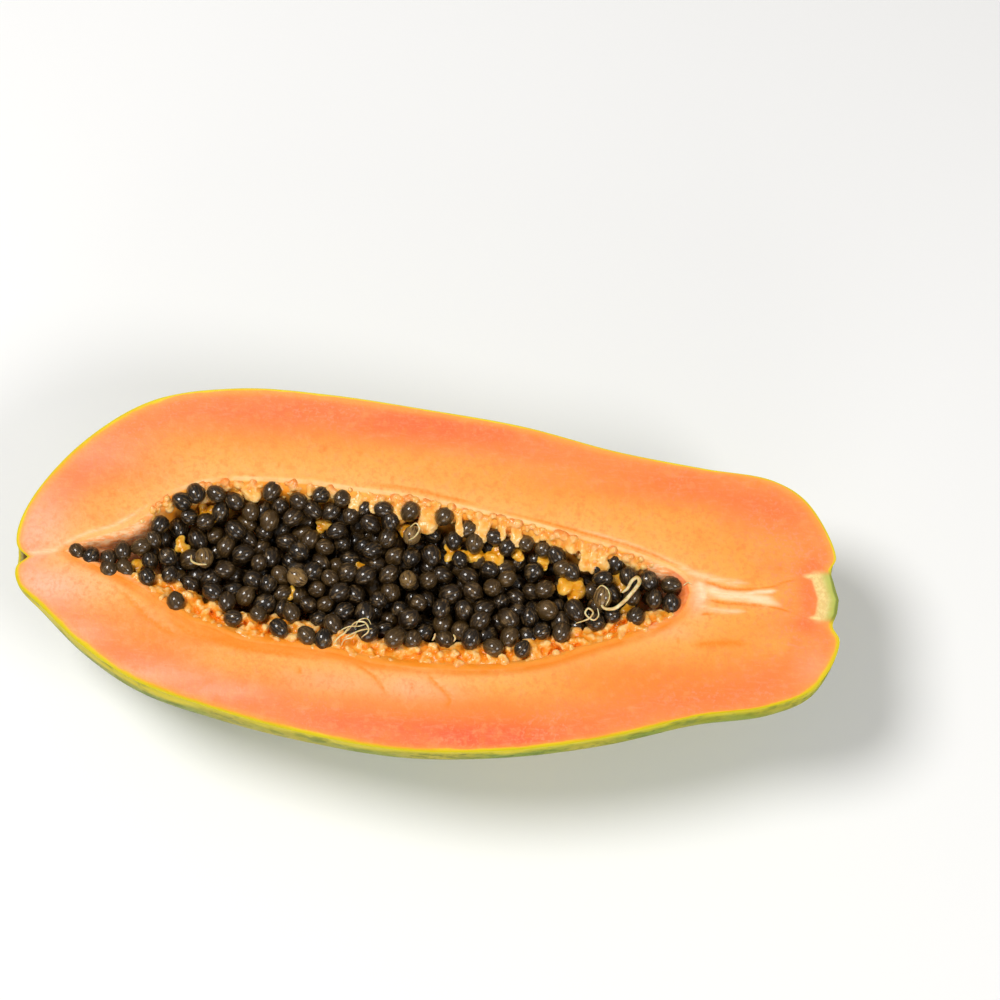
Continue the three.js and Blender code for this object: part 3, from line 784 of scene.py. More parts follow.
def seed_matrix(seed):
    """Puts the modelled seed at a seed's place, turned to its axis."""
    *place, size, axis = seed[:5]
    turn = Vector((0, 0, 1)).rotation_difference(Vector(axis).normalized())
    return moved_to(*place) @ turn.to_matrix().to_4x4() @ Matrix.Scale(size * MM, 4)


def copy_of(model, name):
    """A copy with a mesh of its own."""
    copy = bpy.data.objects.new(name, model.data.copy())
    bpy.context.collection.objects.link(copy)
    return copy


def joined(name, copies):
    """The copies as one finished piece."""
    choose(*copies)
    bpy.ops.object.join()
    return finished(name)


def build_seeds(name, seeds, models, draw):
    """Copies of the modelled seeds, each with its own mesh and tone, joined into one piece."""
    copies = []
    for seed in seeds:
        copy = copy_of(models[int(draw(0, len(models)))], "seed")
        copy.data.transform(seed_matrix(seed) @ Matrix.Rotation(draw(0, 2 * math.pi), 4, "Z"))
        store(copy, tone=np.full(len(copy.data.vertices), seed[5]))
        copies.append(copy)
    return joined(name, copies)


# ---- pulp: soft tissue on the chamber wall ----

LUMP_VOXEL = 0.4
SEED_GAP = 2.5  # how far a crumb's skin keeps from the centre of a seed that lies apart


def clear_of_seeds(x, y, z, r, apart):
    """Whether a crumb leaves the seeds that lie apart in sight."""
    return np.linalg.norm(apart - np.array((x, y, z)), axis=1).min() > r + SEED_GAP


# Chunks that stand out of the near pulp: x, y and half width.
CHUNKS = [
    (-87.9, -3, 1.2), (-82.3, -8, 1.2), (-79.4, -10, 1), (-65.6, -14.5, 1.6), (-61.8, -13.2, 1.2),
    (-63, -18.2, 1.2), (-54.8, -13.9, 1.5), (-52, -16.8, 1.2), (-47.5, -17.6, 1.4), (-38.2, -16.1, 1.7),
    (-53.1, -20.5, 0.7), (-48.3, -19.7, 0.8), (-25.1, -17.3, 1.5), (-22.5, -21.4, 1.2), (-19.2, -19.1, 1.3),
    (-15.5, -22, 1.2), (-11.6, -21.8, 1.2), (-13.3, -24.5, 0.7), (-3.1, -22.3, 1.6), (2.7, -20.5, 1.3),
    (5.1, -22.7, 1.2), (9.6, -22.5, 1.4), (15.5, -22.2, 1.5), (19.9, -22, 1.3), (23.6, -23, 1.4),
    (33, -19.6, 1.3), (36.1, -18, 1.6), (42.1, -17.6, 1.5), (47, -15.6, 1.3), (58.3, -13.4, 1.5),
    (62, -10.6, 1.8), (66.1, -9.6, 1.6), (59.5, -7.4, 1.5), (69.6, -8.2, 1.2),
]
CHUNK_BALLS = 4  # of which each is made
# Crumbs along the near edge, large and sunk ones first: how many, smallest and largest radius, sunk by.
NEAR_CRUMBS = [(240, 2.0, 2.8, 2.0), (150, 1.2, 2.1, 0.8)]
NEAR_ALONG, NEAR_IN = (-92, 75), (1.5, 6.9)  # ends of the row, and its start and width from the rim
# How far below the cut the chunks and the crumbs reach up, and how fast that falls inwards.
CHUNK_TOP, CHUNK_SLOPE = 0.8, 0.14
CRUMB_TOP, CRUMB_SLOPE, CRUMB_UNEVEN = 0.5, 0.26, 0.8
WIDE = 34  # where the chamber is narrower than this, the crumbs are smaller and nearer the rim
LEAN = 1.2  # the most that a lump leans, in radians


def near_lumps(draw, apart):
    """Crumbs along the near edge, where the chamber wall slopes up to the cut. Each lump here and
    below is x, y, z, radius, height as a share of it, and how it leans to two sides."""
    lumps = []
    for x, y, r in CHUNKS:
        near = chamber_at(x)[1]
        for _ in range(CHUNK_BALLS):
            dx, dy = draw.pair(0.5)
            at = (x + dx * r, y + dy * r, -CHUNK_TOP - CHUNK_SLOPE * (y - near) - r * draw(0.5, 1.5))
            lumps.append((*at, r * draw(0.6, 0.95), draw(0.9, 1.7), *draw.pair(LEAN)))
    for count, small, large, sink in NEAR_CRUMBS:
        made = 0
        while made < count:
            x = draw(*NEAR_ALONG)
            far, near = chamber_at(x)[:2]
            across = min(1.0, (far - near) / WIDE)
            inward = (NEAR_IN[0] + NEAR_IN[1] * draw()) * across
            y = near + inward
            r = draw(small, large) * (0.5 + 0.5 * across)
            uneven = CRUMB_UNEVEN * noise.noise(Vector((x / 4, y / 4, 3.0)))
            top = -CRUMB_TOP - CRUMB_SLOPE * inward + uneven
            z = top - 0.8 * r - sink * across + draw(-0.3, 0.3)
            if sink > 1 or clear_of_seeds(x, y, z, r * 0.55, apart):
                lumps.append((x, y, z, r, draw(0.8, 1.5), *draw.pair(LEAN)))
                made += 1
    return lumps


# Broad tags of pulp that hang from the far edge over the seeds: x, y of the free end, and half width.
BROAD_TAGS = [
    (-69.2, 23.8, 2.4), (-63.5, 26.2, 1.8), (-55.6, 22.8, 2.8), (-46.5, 26.6, 1.8), (-41, 27, 2.4),
    (-36, 26.4, 1.9), (-23.4, 21, 2.5), (-18, 20.8, 1.9), (-10.2, 18.4, 3), (-1.6, 15.8, 3.2),
    (8.1, 14.8, 1.5), (15.9, 13.6, 2.6), (21.6, 14.4, 1.6), (25.8, 13, 2.1), (32.2, 16.4, 2.1),
    (42.6, 11.6, 2.1), (46.7, 5.8, 1.6), (49.4, 5.4, 1.6), (52.1, 5.9, 1.6), (57.6, 10.6, 1.6),
    (62.6, 9.6, 1.3), (67, 7.8, 1.1),
]
FAR_CRUMBS, SMALL_TAGS = 260, 56
FAR_ALONG, TAGS_ALONG = (-88, 65), (-86, 150)  # the crumbs' two ends, and the small tags' start and run
TAG_STEP = 0.3  # from lump to lump, as a share of a tag's half width
TAG_IN, TAG_TOP = 0.8, 0.8  # how far in from the rim and below the cut a tag starts
BLUNT_END = 0.8  # how far its last lump stops short of the free end, as a share of the half width
DROOP, END_DROOP = 0.1, 0.4


def tag(x, y, half_width, draw, apart):
    """One tag: a run of flat lumps from the far rim to its blunt free end, drooping on the seeds."""
    far = chamber_at(x)[0]
    length = max(far - y, 0.8)
    steps = max(2, int(length / (TAG_STEP * half_width)))
    reach = max(length - TAG_IN - BLUNT_END * half_width, 0)
    run, lean = [], draw(-0.8, 0.8)
    for k in range(steps + 1):
        share = k / steps
        at = (x + lean * share * share, far - TAG_IN - reach * share)
        r = half_width * (0.8 + 0.2 * share + 0.08 * math.sin(7 * share + lean) + draw(-0.05, 0.05))
        z = -TAG_TOP - 0.45 * r - DROOP * length * share - END_DROOP * share**3
        if half_width < 1.5 and not clear_of_seeds(*at, z, 0.3 * r, apart):
            break
        run.append((*at, z, r, draw(0.38, 0.5), draw(-0.2, 0.2), draw(-0.25, 0.25)))
    return run if len(run) > 2 else []


def far_lumps(draw, apart):
    """Tags and crumbs below the far edge."""
    lumps = []
    for x, y, half_width in BROAD_TAGS:
        lumps += tag(x, y, half_width, draw, apart)
    for i in range(SMALL_TAGS):
        x = TAGS_ALONG[0] + TAGS_ALONG[1] * (i + draw()) / SMALL_TAGS
        far = chamber_at(x)[0]
        reach = 1.6 + 2.0 * noise.noise(Vector((x / 7, 0.4, 0.0))) + 1.6 * draw() ** 2
        lumps += tag(x, far - max(reach, 0.5), draw(0.6, 1.4), draw, apart)
    for _ in range(FAR_CRUMBS):
        x = draw(*FAR_ALONG)
        inward = 0.5 + 3.8 * draw()
        r = draw(0.6, 1.6)
        at = (x, chamber_at(x)[0] - inward, lip_height(inward) - 0.4 * r)
        shape = (r, draw(0.6, 1.2), *draw.pair(0.5))
        if clear_of_seeds(*at, 0.3 * r, apart):
            lumps.append((*at, *shape))
    return lumps


def inner_lumps(draw):
    """Each bit of inner pulp is a few balls run together."""
    lumps = []
    for x, y, z, r in INNER_LUMPS:
        for _ in range(INNER_BALLS):
            dx, dy = draw.pair(0.7)
            at = (x + dx * r, y + dy * r, z - 1.0 - 0.3 * r * draw())
            lumps.append((*at, r * draw(0.5, 0.8), draw(0.35, 0.6), *draw.pair(0.4)))
    return lumps


ROOT_REACH = 3.5  # how far in from the rim the pulp is the colour of its root
PULP_TOP = 0.8  # the highest it stands above the cut
SMOOTH_ROUNDS = 14


def build_pulp(name, lumps, smooth, rough):
    """Balls of soft tissue run together into one mass with a crumbly skin."""
    model = started("lump_model", bpy.ops.mesh.primitive_ico_sphere_add, subdivisions=2, radius=1)
    copies = []
    for *place, r, tall, lean_x, lean_y in lumps:
        copy = copy_of(model, "lump")
        turn = Matrix.Rotation(lean_x, 4, "X") @ Matrix.Rotation(lean_y, 4, "Y")
        shape = Matrix.Diagonal((r, r, r * tall, 1))
        copy.data.transform(moved_to(*place) @ turn @ Matrix.Scale(MM, 4) @ shape)
        copies.append(copy)
    bpy.data.objects.remove(model)
    piece = joined(name, copies)
    piece.data.remesh_voxel_size = LUMP_VOXEL * MM
    bpy.ops.object.voxel_remesh()
    bpy.ops.object.modifier_add(type="SMOOTH")
    piece.modifiers[-1].iterations = smooth
    bpy.ops.object.modifier_apply(modifier=piece.modifiers[-1].name)
    points = vertices(piece) / MM
    normals = vertices(piece, "normal")
    push = rough * (noise_at(points, 2.1, 3) + 0.4 * noise_at(points, 0.9, 4))
    points += push[:, None] * normals
    points[:, 2] = np.minimum(points[:, 2], CUT_HEIGHT + PULP_TOP)
    move_vertices(piece, points * MM)
    plain = points[:, :2] / FIT - TO_FRAME
    far, near = chamber_at(plain[:, 0])[:2]
    from_rim = np.minimum(far - plain[:, 1], plain[:, 1] - near)
    # How far each spot stands out is kept for painted highlight on tips and painted shade in gaps.
    store(piece, tip=raised(piece, points, normals), root=np.clip(1 - from_rim / ROOT_REACH, 0, 1))
    bpy.ops.object.shade_smooth()
    return piece


def raised(piece, points, normals):
    """How far each vertex stands out of the mesh round it: above 0 on tips, below 0 in gaps."""
    ends = np.empty(2 * len(piece.data.edges), int)
    piece.data.edges.foreach_get("vertices", ends)
    one, other = ends[0::2], ends[1::2]
    count = np.bincount(ends, minlength=len(points))[:, None]
    smooth = points.copy()
    for _ in range(SMOOTH_ROUNDS):
        total = np.zeros_like(smooth)
        np.add.at(total, one, smooth[other])
        np.add.at(total, other, smooth[one])
        smooth = total / count
    return np.sum((points - smooth) * normals, axis=1)


# ---- strands: dried gel skins and seed stalks, pale and curled ----

STRANDS = [
    ([(51.8, -4.6, 0.2), (53.4, -6.6, 0.9), (56.1, -6.6, 1.2), (58.4, -4.9, 1.5), (60.9, -2, 1.7),
      (63.4, 2.2, 1.6), (62.6, 3.4, 1.5), (61.2, 2.4, 1.4), (59.8, -0.2, 1.2), (58.4, -1.2, 0.4)], 0.62),
    ([(44.9, -11.5, 0.2), (47.3, -10.8, 1), (49, -10, 1.4), (49.9, -8.2, 1.7), (48.4, -7.1, 1.7),
      (47.6, -8.6, 1.4), (50.2, -10.4, 0.9), (51.6, -9, 0.8), (51.2, -6.6, 0.9)], 0.28),
    ([(50.6, -1, 0.8), (52, 0.2, 1.7), (53.8, -0.8, 1.9), (54.6, -3.4, 1.8), (53.6, -5.8, 1.2)], 0.25),
    ([(-6.8, 15.2, 0.6), (-4.6, 17, 1.2), (-3.4, 15.2, 1.5), (-4.6, 12.6, 1.5), (-6.4, 11.6, 0.9)], 0.26),
    ([(-71.4, 3.6, 0), (-71, 1.4, 0.9), (-69, 0.4, 1.4), (-66.4, 0.5, 1.2)], 0.34),
    ([(-22.7, -17.6, 0.2), (-20.4, -15, 1), (-17.6, -15, 1.2), (-16.4, -17.4, 0.9),
      (-18.4, -19.4, 0.5)], 0.26),
    ([(-24.2, -20.2, -0.2), (-21.6, -18.8, 0.8), (-18.6, -17.4, 1.2), (-15.4, -16.6, 0.6)], 0.24),
    ([(-26.6, -21.4, -0.6), (-25, -19.6, 0.6), (-23.6, -18.6, 1), (-22.4, -16.8, 0.8)], 0.34),
    ([(-25.4, -18.2, 0), (-23.8, -17.2, 1.1), (-21.8, -16.4, 1.3), (-19.6, -16.2, 1),
      (-17.2, -15.2, 0.5)], 0.2),
    ([(-24.4, -22.2, -0.6), (-23.4, -20.4, 0.4), (-21, -19.6, 0.9), (-19.8, -17.8, 1.2)], 0.22),
    ([(-20.6, -16.8, 0.8), (-19.4, -14.4, 1.4), (-17, -13.8, 1.3), (-15.8, -15.4, 0.9)], 0.18),
    ([(76.6, 2.4, -1), (78, 3.2, -0.2), (79.2, 2.6, -0.1)], 0.22),
    ([(2.6, -18.9, -0.8), (3.2, -18.2, 0.6), (3.4, -17.2, 1.2)], 0.3),
    ([(9, -18.9, -0.8), (9.4, -18, 0.6), (8.8, -17.2, 1.1)], 0.3),
]


def build_strands(name):
    """Each strand is a round cord along its places, thinner at its ends, turned into a mesh."""
    parts = []
    for line, radius in STRANDS:
        bpy.ops.object.select_all(action="DESELECT")
        bpy.ops.curve.primitive_nurbs_path_add()
        path = bpy.context.object.data
        path.splines.clear()
        spline = path.splines.new("POLY")
        places = placed(along_line(line))
        last = len(places) - 1
        spline.points.add(last)
        for k, (point, place) in enumerate(zip(spline.points, places)):
            point.co = (*place, 1)
            point.radius = 0.35 + 0.65 * math.sin(math.pi * k / last) ** 0.5
        path.bevel_depth = radius * MM
        path.bevel_resolution = 2
        path.use_fill_caps = True
        bpy.ops.object.convert(target="MESH")
        parts.append(bpy.context.object)
    piece = joined(name, parts)
    bpy.ops.object.shade_smooth()
    return piece


# ---- materials ----


def linear(hex_colour):
    """An sRGB hex colour as linear red, green, blue and alpha."""
    values = [int(hex_colour[i : i + 2], 16) / 255 for i in (1, 3, 5)]
    return (*(v / 12.92 if v <= 0.04045 else ((v + 0.055) / 1.055) ** 2.4 for v in values), 1.0)


def add(tree, kind, *inputs, stops=None, **named):
    """Adds a node. Its inputs are given in their order or by name, and its settings by name, which have
    no capital. An input is a number, a hex colour, a socket, or a node, for its first output."""
    made = tree.nodes.new("ShaderNode" + kind)
    for key, value in {**dict(enumerate(inputs)), **named}.items():
        if isinstance(value, bpy.types.Node):
            value = value.outputs[0]
        if key in named and key[0].islower():
            setattr(made, key, value)
        elif isinstance(value, bpy.types.NodeSocket):
            tree.links.new(value, made.inputs[key])
        else:
            made.inputs[key].default_value = linear(value) if isinstance(value, str) else value
    if stops:
        ramp = made.color_ramp
        while len(ramp.elements) < len(stops):
            ramp.elements.new(0.5)
        for element, (place, shade) in zip(ramp.elements, stops):
            element.position = place
            element.color = linear(shade)
    return made


# Settings of Math and Map Range nodes. A range reads its first input from the second to the third, and
# gives the fourth to the fifth, which are 0 and 1 where left out.
TIMES = {"operation": "MULTIPLY"}
PLUS = {"operation": "ADD"}
SOFT = {"interpolation_type": "SMOOTHSTEP"}


def tinted(tree, colour, shade, where, low, high, most=1.0, least=0.0, within=None):
    """A colour with a shade laid over it where a pattern runs from low to high, within another one."""
    share = add(tree, "MapRange", where, low, high, least, most, **SOFT)
    if within is not None:
        share = add(tree, "Math", share, within, use_clamp=True, **TIMES)
    return add(tree, "MixRGB", share, colour, shade)


def new_material(name):
    """A material and its tree, with no nodes yet."""
    made = bpy.data.materials.new(name)
    made.use_nodes = True
    made.node_tree.nodes.clear()
    return made, made.node_tree


def guides(tree, *attributes):
    """What patterns follow: the place on the piece, the way a seed is wrapped, and its attributes."""
    at = {key: add(tree, "Attribute", attribute_name=key).outputs["Fac"] for key in attributes}
    place = add(tree, "TexCoord").outputs
    return {"place": place["Object"], "wrap": place["UV"], **at}


def surfaced(material, inputs):
    """The material, once its shader has these inputs."""
    shader = add(material.node_tree, "BsdfPrincipled", **inputs)
    add(material.node_tree, "OutputMaterial", shader)
    return material


def flesh_bands(tree, at):
    """Salmon under the rind, through orange, to yellow by the chamber, with a slow wander."""
    wander = add(tree, "MapRange", at["slow"], 0.0, 1.0, -0.15, 0.15, clamp=False)
    at["ruffle"] = add(tree, "MapRange", at["middle"], 0.0, 1.0, -0.08, 0.08, clamp=False)
    wander = add(tree, "Math", wander, at["ruffle"], **PLUS)
    at["depth"] = add(tree, "Math", at["band"], wander, **PLUS)
    colour = add(
        tree, "ValToRGB", at["depth"],
        stops=[
            (0.0, "#FB9448"), (0.10, "#FB8A4A"), (0.24, "#FB8346"), (0.40, "#FC9046"),
            (0.56, "#FC9E44"), (0.78, "#FCAA50"), (1.0, "#FDB562"),
        ],
    )
    for name, shade, low, high, least in (
        ("red", "#FA5F3A", 0.3, 0.6, 0.62), ("warm", "#FA882C", 0.3, 0.6, 0.6),
        ("gold", "#FBAC50", 0.3, 0.6, 0.6), ("pale", "#FBB692", 0.25, 0.7, 0.75),
    ):
        colour = tinted(tree, colour, shade, at["middle"], low, high, least=least, within=at[name])
    return colour


def flesh_grain(tree, at, colour):
    """Soft mottling all over, and fine pale grains and fibres in the outer flesh."""
    mottle = add(tree, "TexNoise", at["place"], Scale=1 / (3.6 * MM), Detail=4.0, Roughness=0.6)
    colour = tinted(tree, colour, "#FCA060", mottle, 0.52, 0.68, 0.35)
    colour = tinted(tree, colour, "#FA8438", mottle, 0.46, 0.34, 0.35)
    outer = add(tree, "MapRange", at["depth"], 0.55, 0.3, **SOFT)
    some = add(tree, "MapRange", at["slow"], 0.5, 0.62, 0.1, 0.3, **SOFT)
    colour = tinted(tree, colour, "#FDC0A0", at["fine"], 0.52, 0.66, some, within=outer)
    colour = tinted(tree, colour, "#FDB48C", at["streak"], 0.50, 0.68, 0.15, within=outer)
    some = add(tree, "MapRange", at["slow"], 0.35, 0.6, 0.16, 0.36, **SOFT)
    return tinted(tree, colour, "#F6783F", at["fine"], 0.46, 0.68, some)


def flesh_marks(tree, at, colour):
    """Scattered orange specks, brown flecks, and the lines where veins were cut through."""
    stretched = add(tree, "Mapping", at["place"], Scale=(1.0, 0.55, 1.0))
    cells = add(tree, "TexVoronoi", stretched, Scale=1 / (8.5 * MM))
    some = add(tree, "SeparateColor", cells.outputs["Color"])
    some = add(tree, "MapRange", some, 0.50, 0.58, 0.0, 0.6, **SOFT)
    inner = add(tree, "MapRange", at["depth"], 0.35, 0.5, **SOFT)
    colour = tinted(tree, colour, "#EE8420", cells.outputs["Distance"], 0.12, 0.03, some, within=inner)
    for name, shade, texture, low, least, most in (
        ("mark", "#E87A1C", "fine", 0.3, 0.4, 0.9), ("pale_line", "#FDD5A4", "streak", 0.35, 0.3, 0.7),
        ("cream", "#FDE0B4", "streak", 0.35, 0.65, 0.95), ("orange_line", "#F58416", "fine", 0.3, 0.5, 0.85),
    ):
        colour = tinted(tree, colour, shade, at[texture], low, 0.6, most, least, at[name])
    return colour


def flesh_wall(tree, at, colour):
    """The straw-coloured stem, the chamber's lips and wall, and painted shade at the near lip and the stem
    end.
    """
    middle = at["middle"]
    stem = add(tree, "Math", at["stem"], at["ruffle"], **PLUS)
    at["woody"] = add(tree, "MapRange", stem, 0.3, 0.95, **SOFT)
    straw = tinted(tree, "#F6D890", "#EAC67C", at["fine"], 0.40, 0.62)
    straw = tinted(tree, straw, "#B9BC58", at["from_skin"], 4.2, 1.0)
    colour = add(tree, "MixRGB", at["woody"], colour, straw)
    uneven = add(tree, "MapRange", middle, 0.35, 0.6, 0.2, 0.8, **SOFT)
    colour = tinted(tree, colour, "#FDCB8C", at["from_rim"], 0.95, 0.3, uneven, within=at["far_lip"])
    wall = tinted(tree, "#F8921E", "#FCB04C", middle, 0.35, 0.65)
    fibrous = tinted(tree, "#FFA05C", "#FFC490", at["streak"], 0.42, 0.6)
    wall = add(tree, "MixRGB", at["tail"], wall, fibrous)
    # Painted shade and warm bounced light: the wall turns unevenly deep red-orange in the hollow at the
    # chamber's stem end.
    uneven = add(tree, "MapRange", middle, 0.0, 1.0, 0.5, 1.0)
    in_shade = add(tree, "MapRange", at["recess"], 0.0, 1.0, 0.0, uneven)
    wall = add(tree, "MixRGB", in_shade, wall, "#D8622C")
    colour = tinted(tree, colour, wall, at["from_rim"], -0.25, -0.9)
    # Painted shade: deeper orange, unevenly, where the near lip rounds down into the chamber.
    return tinted(tree, colour, "#FA8C24", middle, 0.3, 0.6, 0.95, 0.45, at["near_lip"])


def flesh_edge(tree, at, colour):
    """The rind's cut edge, with warmer flesh inside it. It is thinner on the far side."""
    off_stem = add(tree, "Math", at["woody"], 3.0, **TIMES)
    off_stem = add(tree, "Math", off_stem, at["from_skin"], **PLUS)
    colour = tinted(tree, colour, "#FCA83E", off_stem, 3.2, 0.8, 0.5)
    rind = tinted(tree, "#E9AE20", "#E8C81E", at["slow"], 0.42, 0.58)
    from_near_skin = add(tree, "Math", at["from_skin"], at["far_lip"], **PLUS)
    rind = tinted(tree, rind, "#D2C014", from_near_skin, 1.0, 0.2)
    rind = add(tree, "MixRGB", at["woody"], rind, "#7F8A34")
    wander = add(tree, "MapRange", at["middle"], 0.3, 0.7, -0.3, 0.4)
    thinner = add(tree, "MapRange", at["far_lip"], 0.0, 1.0, 0.0, 0.85)
    inward = add(tree, "Math", at["from_skin"], wander, **PLUS)
    inward = add(tree, "Math", inward, thinner, **PLUS)
    return tinted(tree, colour, rind, inward, 1.7, 0.8)


def flesh_material():
    """Ripe papaya flesh, cut with a knife: soft, wet and faintly see-through, banded from a yellow line
    under the rind by salmon and orange to a paler lip round the seeds."""
    material, tree = new_material("ripe papaya flesh")
    at = guides(
        tree, "from_skin", "from_rim", "band", "red", "warm", "gold", "pale", "mark", "stem", "cream",
        "orange_line", "pale_line", "near_lip", "far_lip", "tail", "recess",
    )
    place = at["place"]
    along = add(tree, "Mapping", place, Scale=(0.22, 1.0, 1.0))
    # Sizes in millimetres. The grain and the fibres are coarser than the flesh's cells, so that they show.
    for name, where, size, detail, rough in (
        ("slow", place, 24, 3.0, 0.5), ("middle", place, 7, 4.0, 0.5),
        ("fine", place, 1.1, 3.0, 0.6), ("streak", along, 0.9, 4.0, 0.65),
    ):
        at[name] = add(tree, "TexNoise", where, Scale=1 / (size * MM), Detail=detail, Roughness=rough)
    colour = flesh_bands(tree, at)
    for layer in (flesh_grain, flesh_marks, flesh_wall, flesh_edge):
        colour = layer(tree, at, colour)
    soft = add(tree, "Bump", Height=at["middle"], Strength=0.3, Distance=0.8 * MM)
    tiny = add(tree, "Bump", Height=at["fine"], Strength=0.3, Distance=0.3 * MM, Normal=soft)
    rough = add(tree, "MapRange", at["fine"], 0.3, 0.7, 0.40, 0.58, **SOFT)
    return surfaced(material, {
        "Base Color": colour, "Roughness": rough, "IOR": 1.38, "Specular IOR Level": 0.35, "Normal": tiny,
        "Subsurface Weight": 0.15, "Subsurface Radius": (1.0, 0.45, 0.18), "Subsurface Scale": 3 * MM,
    })


def rind_material():
    """Ripening papaya rind: thin waxy skin, olive green turning yellow, with small dark green flecks,
    yellow along the cut, and corky where the stalk and the flower were."""
    material, tree = new_material("waxy papaya rind")
    at = guides(tree, "under_cut", "green_side", "scar", "pit")
    place = at["place"]
    # Sizes in millimetres, from the large blotches to the waver of the flecks' edges.
    blotch, mottle, patch, thick, wavy = (
        add(tree, "TexNoise", place, Scale=1 / (size * MM), Detail=detail, Roughness=rough)
        for size, detail, rough in (
            (30, 5.0, 0.6), (5, 4.0, 0.65), (12, 4.0, 0.6), (18, 2.0, 0.5), (2, 2.0, 0.5)
        )
    )
    colour = add(
        tree, "ValToRGB", blotch,
        stops=[(0.30, "#5F7C04"), (0.43, "#7C9004"), (0.52, "#989A04"), (0.62, "#B2A404"), (0.78, "#C4AE0A")],
    )
    some = add(tree, "MapRange", thick, 0.38, 0.62, 0.2, 0.75, **SOFT)
    colour = tinted(tree, colour, "#627206", mottle, 0.46, 0.64, some)
    bent = add(tree, "MixRGB", 1.2 * MM, place, wavy.outputs["Color"])
    cells = add(tree, "TexVoronoi", bent, Scale=1 / (2.3 * MM))
    chosen = add(tree, "SeparateColor", cells.outputs["Color"])
    some = add(tree, "MapRange", thick, 0.36, 0.58, 0.15, 0.8, **SOFT)
    some = add(tree, "MapRange", chosen, 0.35, 0.6, 0.0, some, **SOFT)
    colour = tinted(tree, colour, "#3E4E06", cells.outputs["Distance"], 0.46, 0.12, some)
    greener = add(tree, "Math", at["green_side"], 4.0, **TIMES)
    wander = add(tree, "MapRange", blotch, 0.0, 1.0, -13.0, 13.0, clamp=False)
    ragged = add(tree, "Math", greener, wander, **PLUS)
    ragged = add(tree, "Math", at["under_cut"], ragged, **PLUS)
    colour = tinted(tree, colour, "#DCC600", ragged, 8.0, 2.0)
    colour = tinted(tree, colour, "#D0C004", at["under_cut"], 3.2, 0.5, 0.85)
    colour = tinted(tree, colour, "#5E7206", patch, 0.54, 0.70, 0.7)
    cork = tinted(tree, "#8C7C3C", "#C4B468", mottle, 0.35, 0.65)
    colour = add(tree, "MixRGB", at["scar"], colour, cork)
    colour = add(tree, "MixRGB", at["pit"], colour, "#6A4E22")
    bump = add(tree, "Bump", Height=mottle, Strength=0.15, Distance=0.6 * MM)
    rough = add(tree, "MapRange", mottle, 0.35, 0.7, 0.38, 0.5, **SOFT)
    return surfaced(material, {
        "Base Color": colour, "Roughness": rough, "IOR": 1.4, "Specular IOR Level": 0.07,
        "Normal": bump, "Coat Weight": 0.07, "Coat Roughness": 0.2,
    })


def pulp_material(name, in_shade, mid, light):
    """Loose pulp from the chamber wall: very wet, see-through crumbs, paler at their tips as painted
    highlight, deeper orange in their gaps as painted shade, and deep orange where they grow from the wall."""
    material, tree = new_material(name)
    at = guides(tree, "tip", "root")
    clump = add(tree, "TexNoise", at["place"], Scale=1 / (3.2 * MM), Detail=3.0)
    fine = add(tree, "TexNoise", at["place"], Scale=1 / (0.7 * MM), Detail=2.0)
    uneven = add(tree, "MapRange", clump, 0.0, 1.0, -0.7, 0.7, clamp=False)
    # Painted shade and highlight: deep orange in the gaps, pale on the tips, with random clumps mixed in.
    shade = add(tree, "MapRange", at["tip"], -0.7, 0.8, **SOFT)
    shade = add(tree, "Math", shade, uneven, **PLUS)
    colour = add(tree, "ValToRGB", shade, stops=[(0.15, in_shade), (0.5, mid), (0.9, light)])
    colour = tinted(tree, colour, "#F98028", clump, 0.42, 0.58, 0.85, 0.1, at["root"])
    bump = add(tree, "Bump", Height=fine, Strength=0.25, Distance=0.2 * MM)
    return surfaced(material, {
        "Base Color": colour, "Roughness": 0.22, "IOR": 1.38, "Normal": bump,
        "Subsurface Weight": 0.35, "Subsurface Radius": (1.0, 0.5, 0.2), "Subsurface Scale": 3 * MM,
    })


def seed_material():
    """Black papaya seeds in their gel coats: dark brown-black with fine pale veins lengthwise under a
    clear wet skin, which gives small sharp highlights."""
    material, tree = new_material("wet black papaya seeds")
    at = guides(tree, "tone")
    lengthwise = add(tree, "Mapping", at["wrap"], Scale=(22.0, 3.6, 1.0))
    vein = add(tree, "TexNoise", lengthwise, Scale=1.0, Detail=4.0, Roughness=0.7)
    cloud = add(tree, "TexNoise", at["place"], Scale=1 / (1.8 * MM))
    grit = add(tree, "TexNoise", at["place"], Scale=1 / (0.55 * MM), Detail=3.0)
    colour = add(
        tree, "ValToRGB", at["tone"],
        stops=[(0.0, "#150C02"), (0.3, "#221505"), (0.86, "#483314"), (0.92, "#70552A"), (1.0, "#8C6C3C")],
    )
    some = add(tree, "MapRange", cloud, 0.35, 0.65, 0.15, 0.75, **SOFT)
    colour = tinted(tree, colour, "#8E7046", vein, 0.48, 0.64, some)
    tan = add(tree, "MapRange", at["tone"], 0.87, 0.92, 0.0, 0.85, **SOFT)
    colour = tinted(tree, colour, "#2B1B0D", vein, 0.52, 0.40, tan)
    height = add(tree, "Math", vein, grit, **PLUS)
    bump = add(tree, "Bump", Height=height, Strength=0.6, Distance=0.35 * MM)
    rough = add(tree, "MapRange", cloud, 0.3, 0.7, 0.34, 0.5, **SOFT)
    return surfaced(material, {
        "Base Color": colour, "Roughness": rough, "IOR": 1.36, "Specular IOR Level": 0.35,
        "Normal": bump, "Coat Weight": 0.9, "Coat Roughness": 0.06,
    })


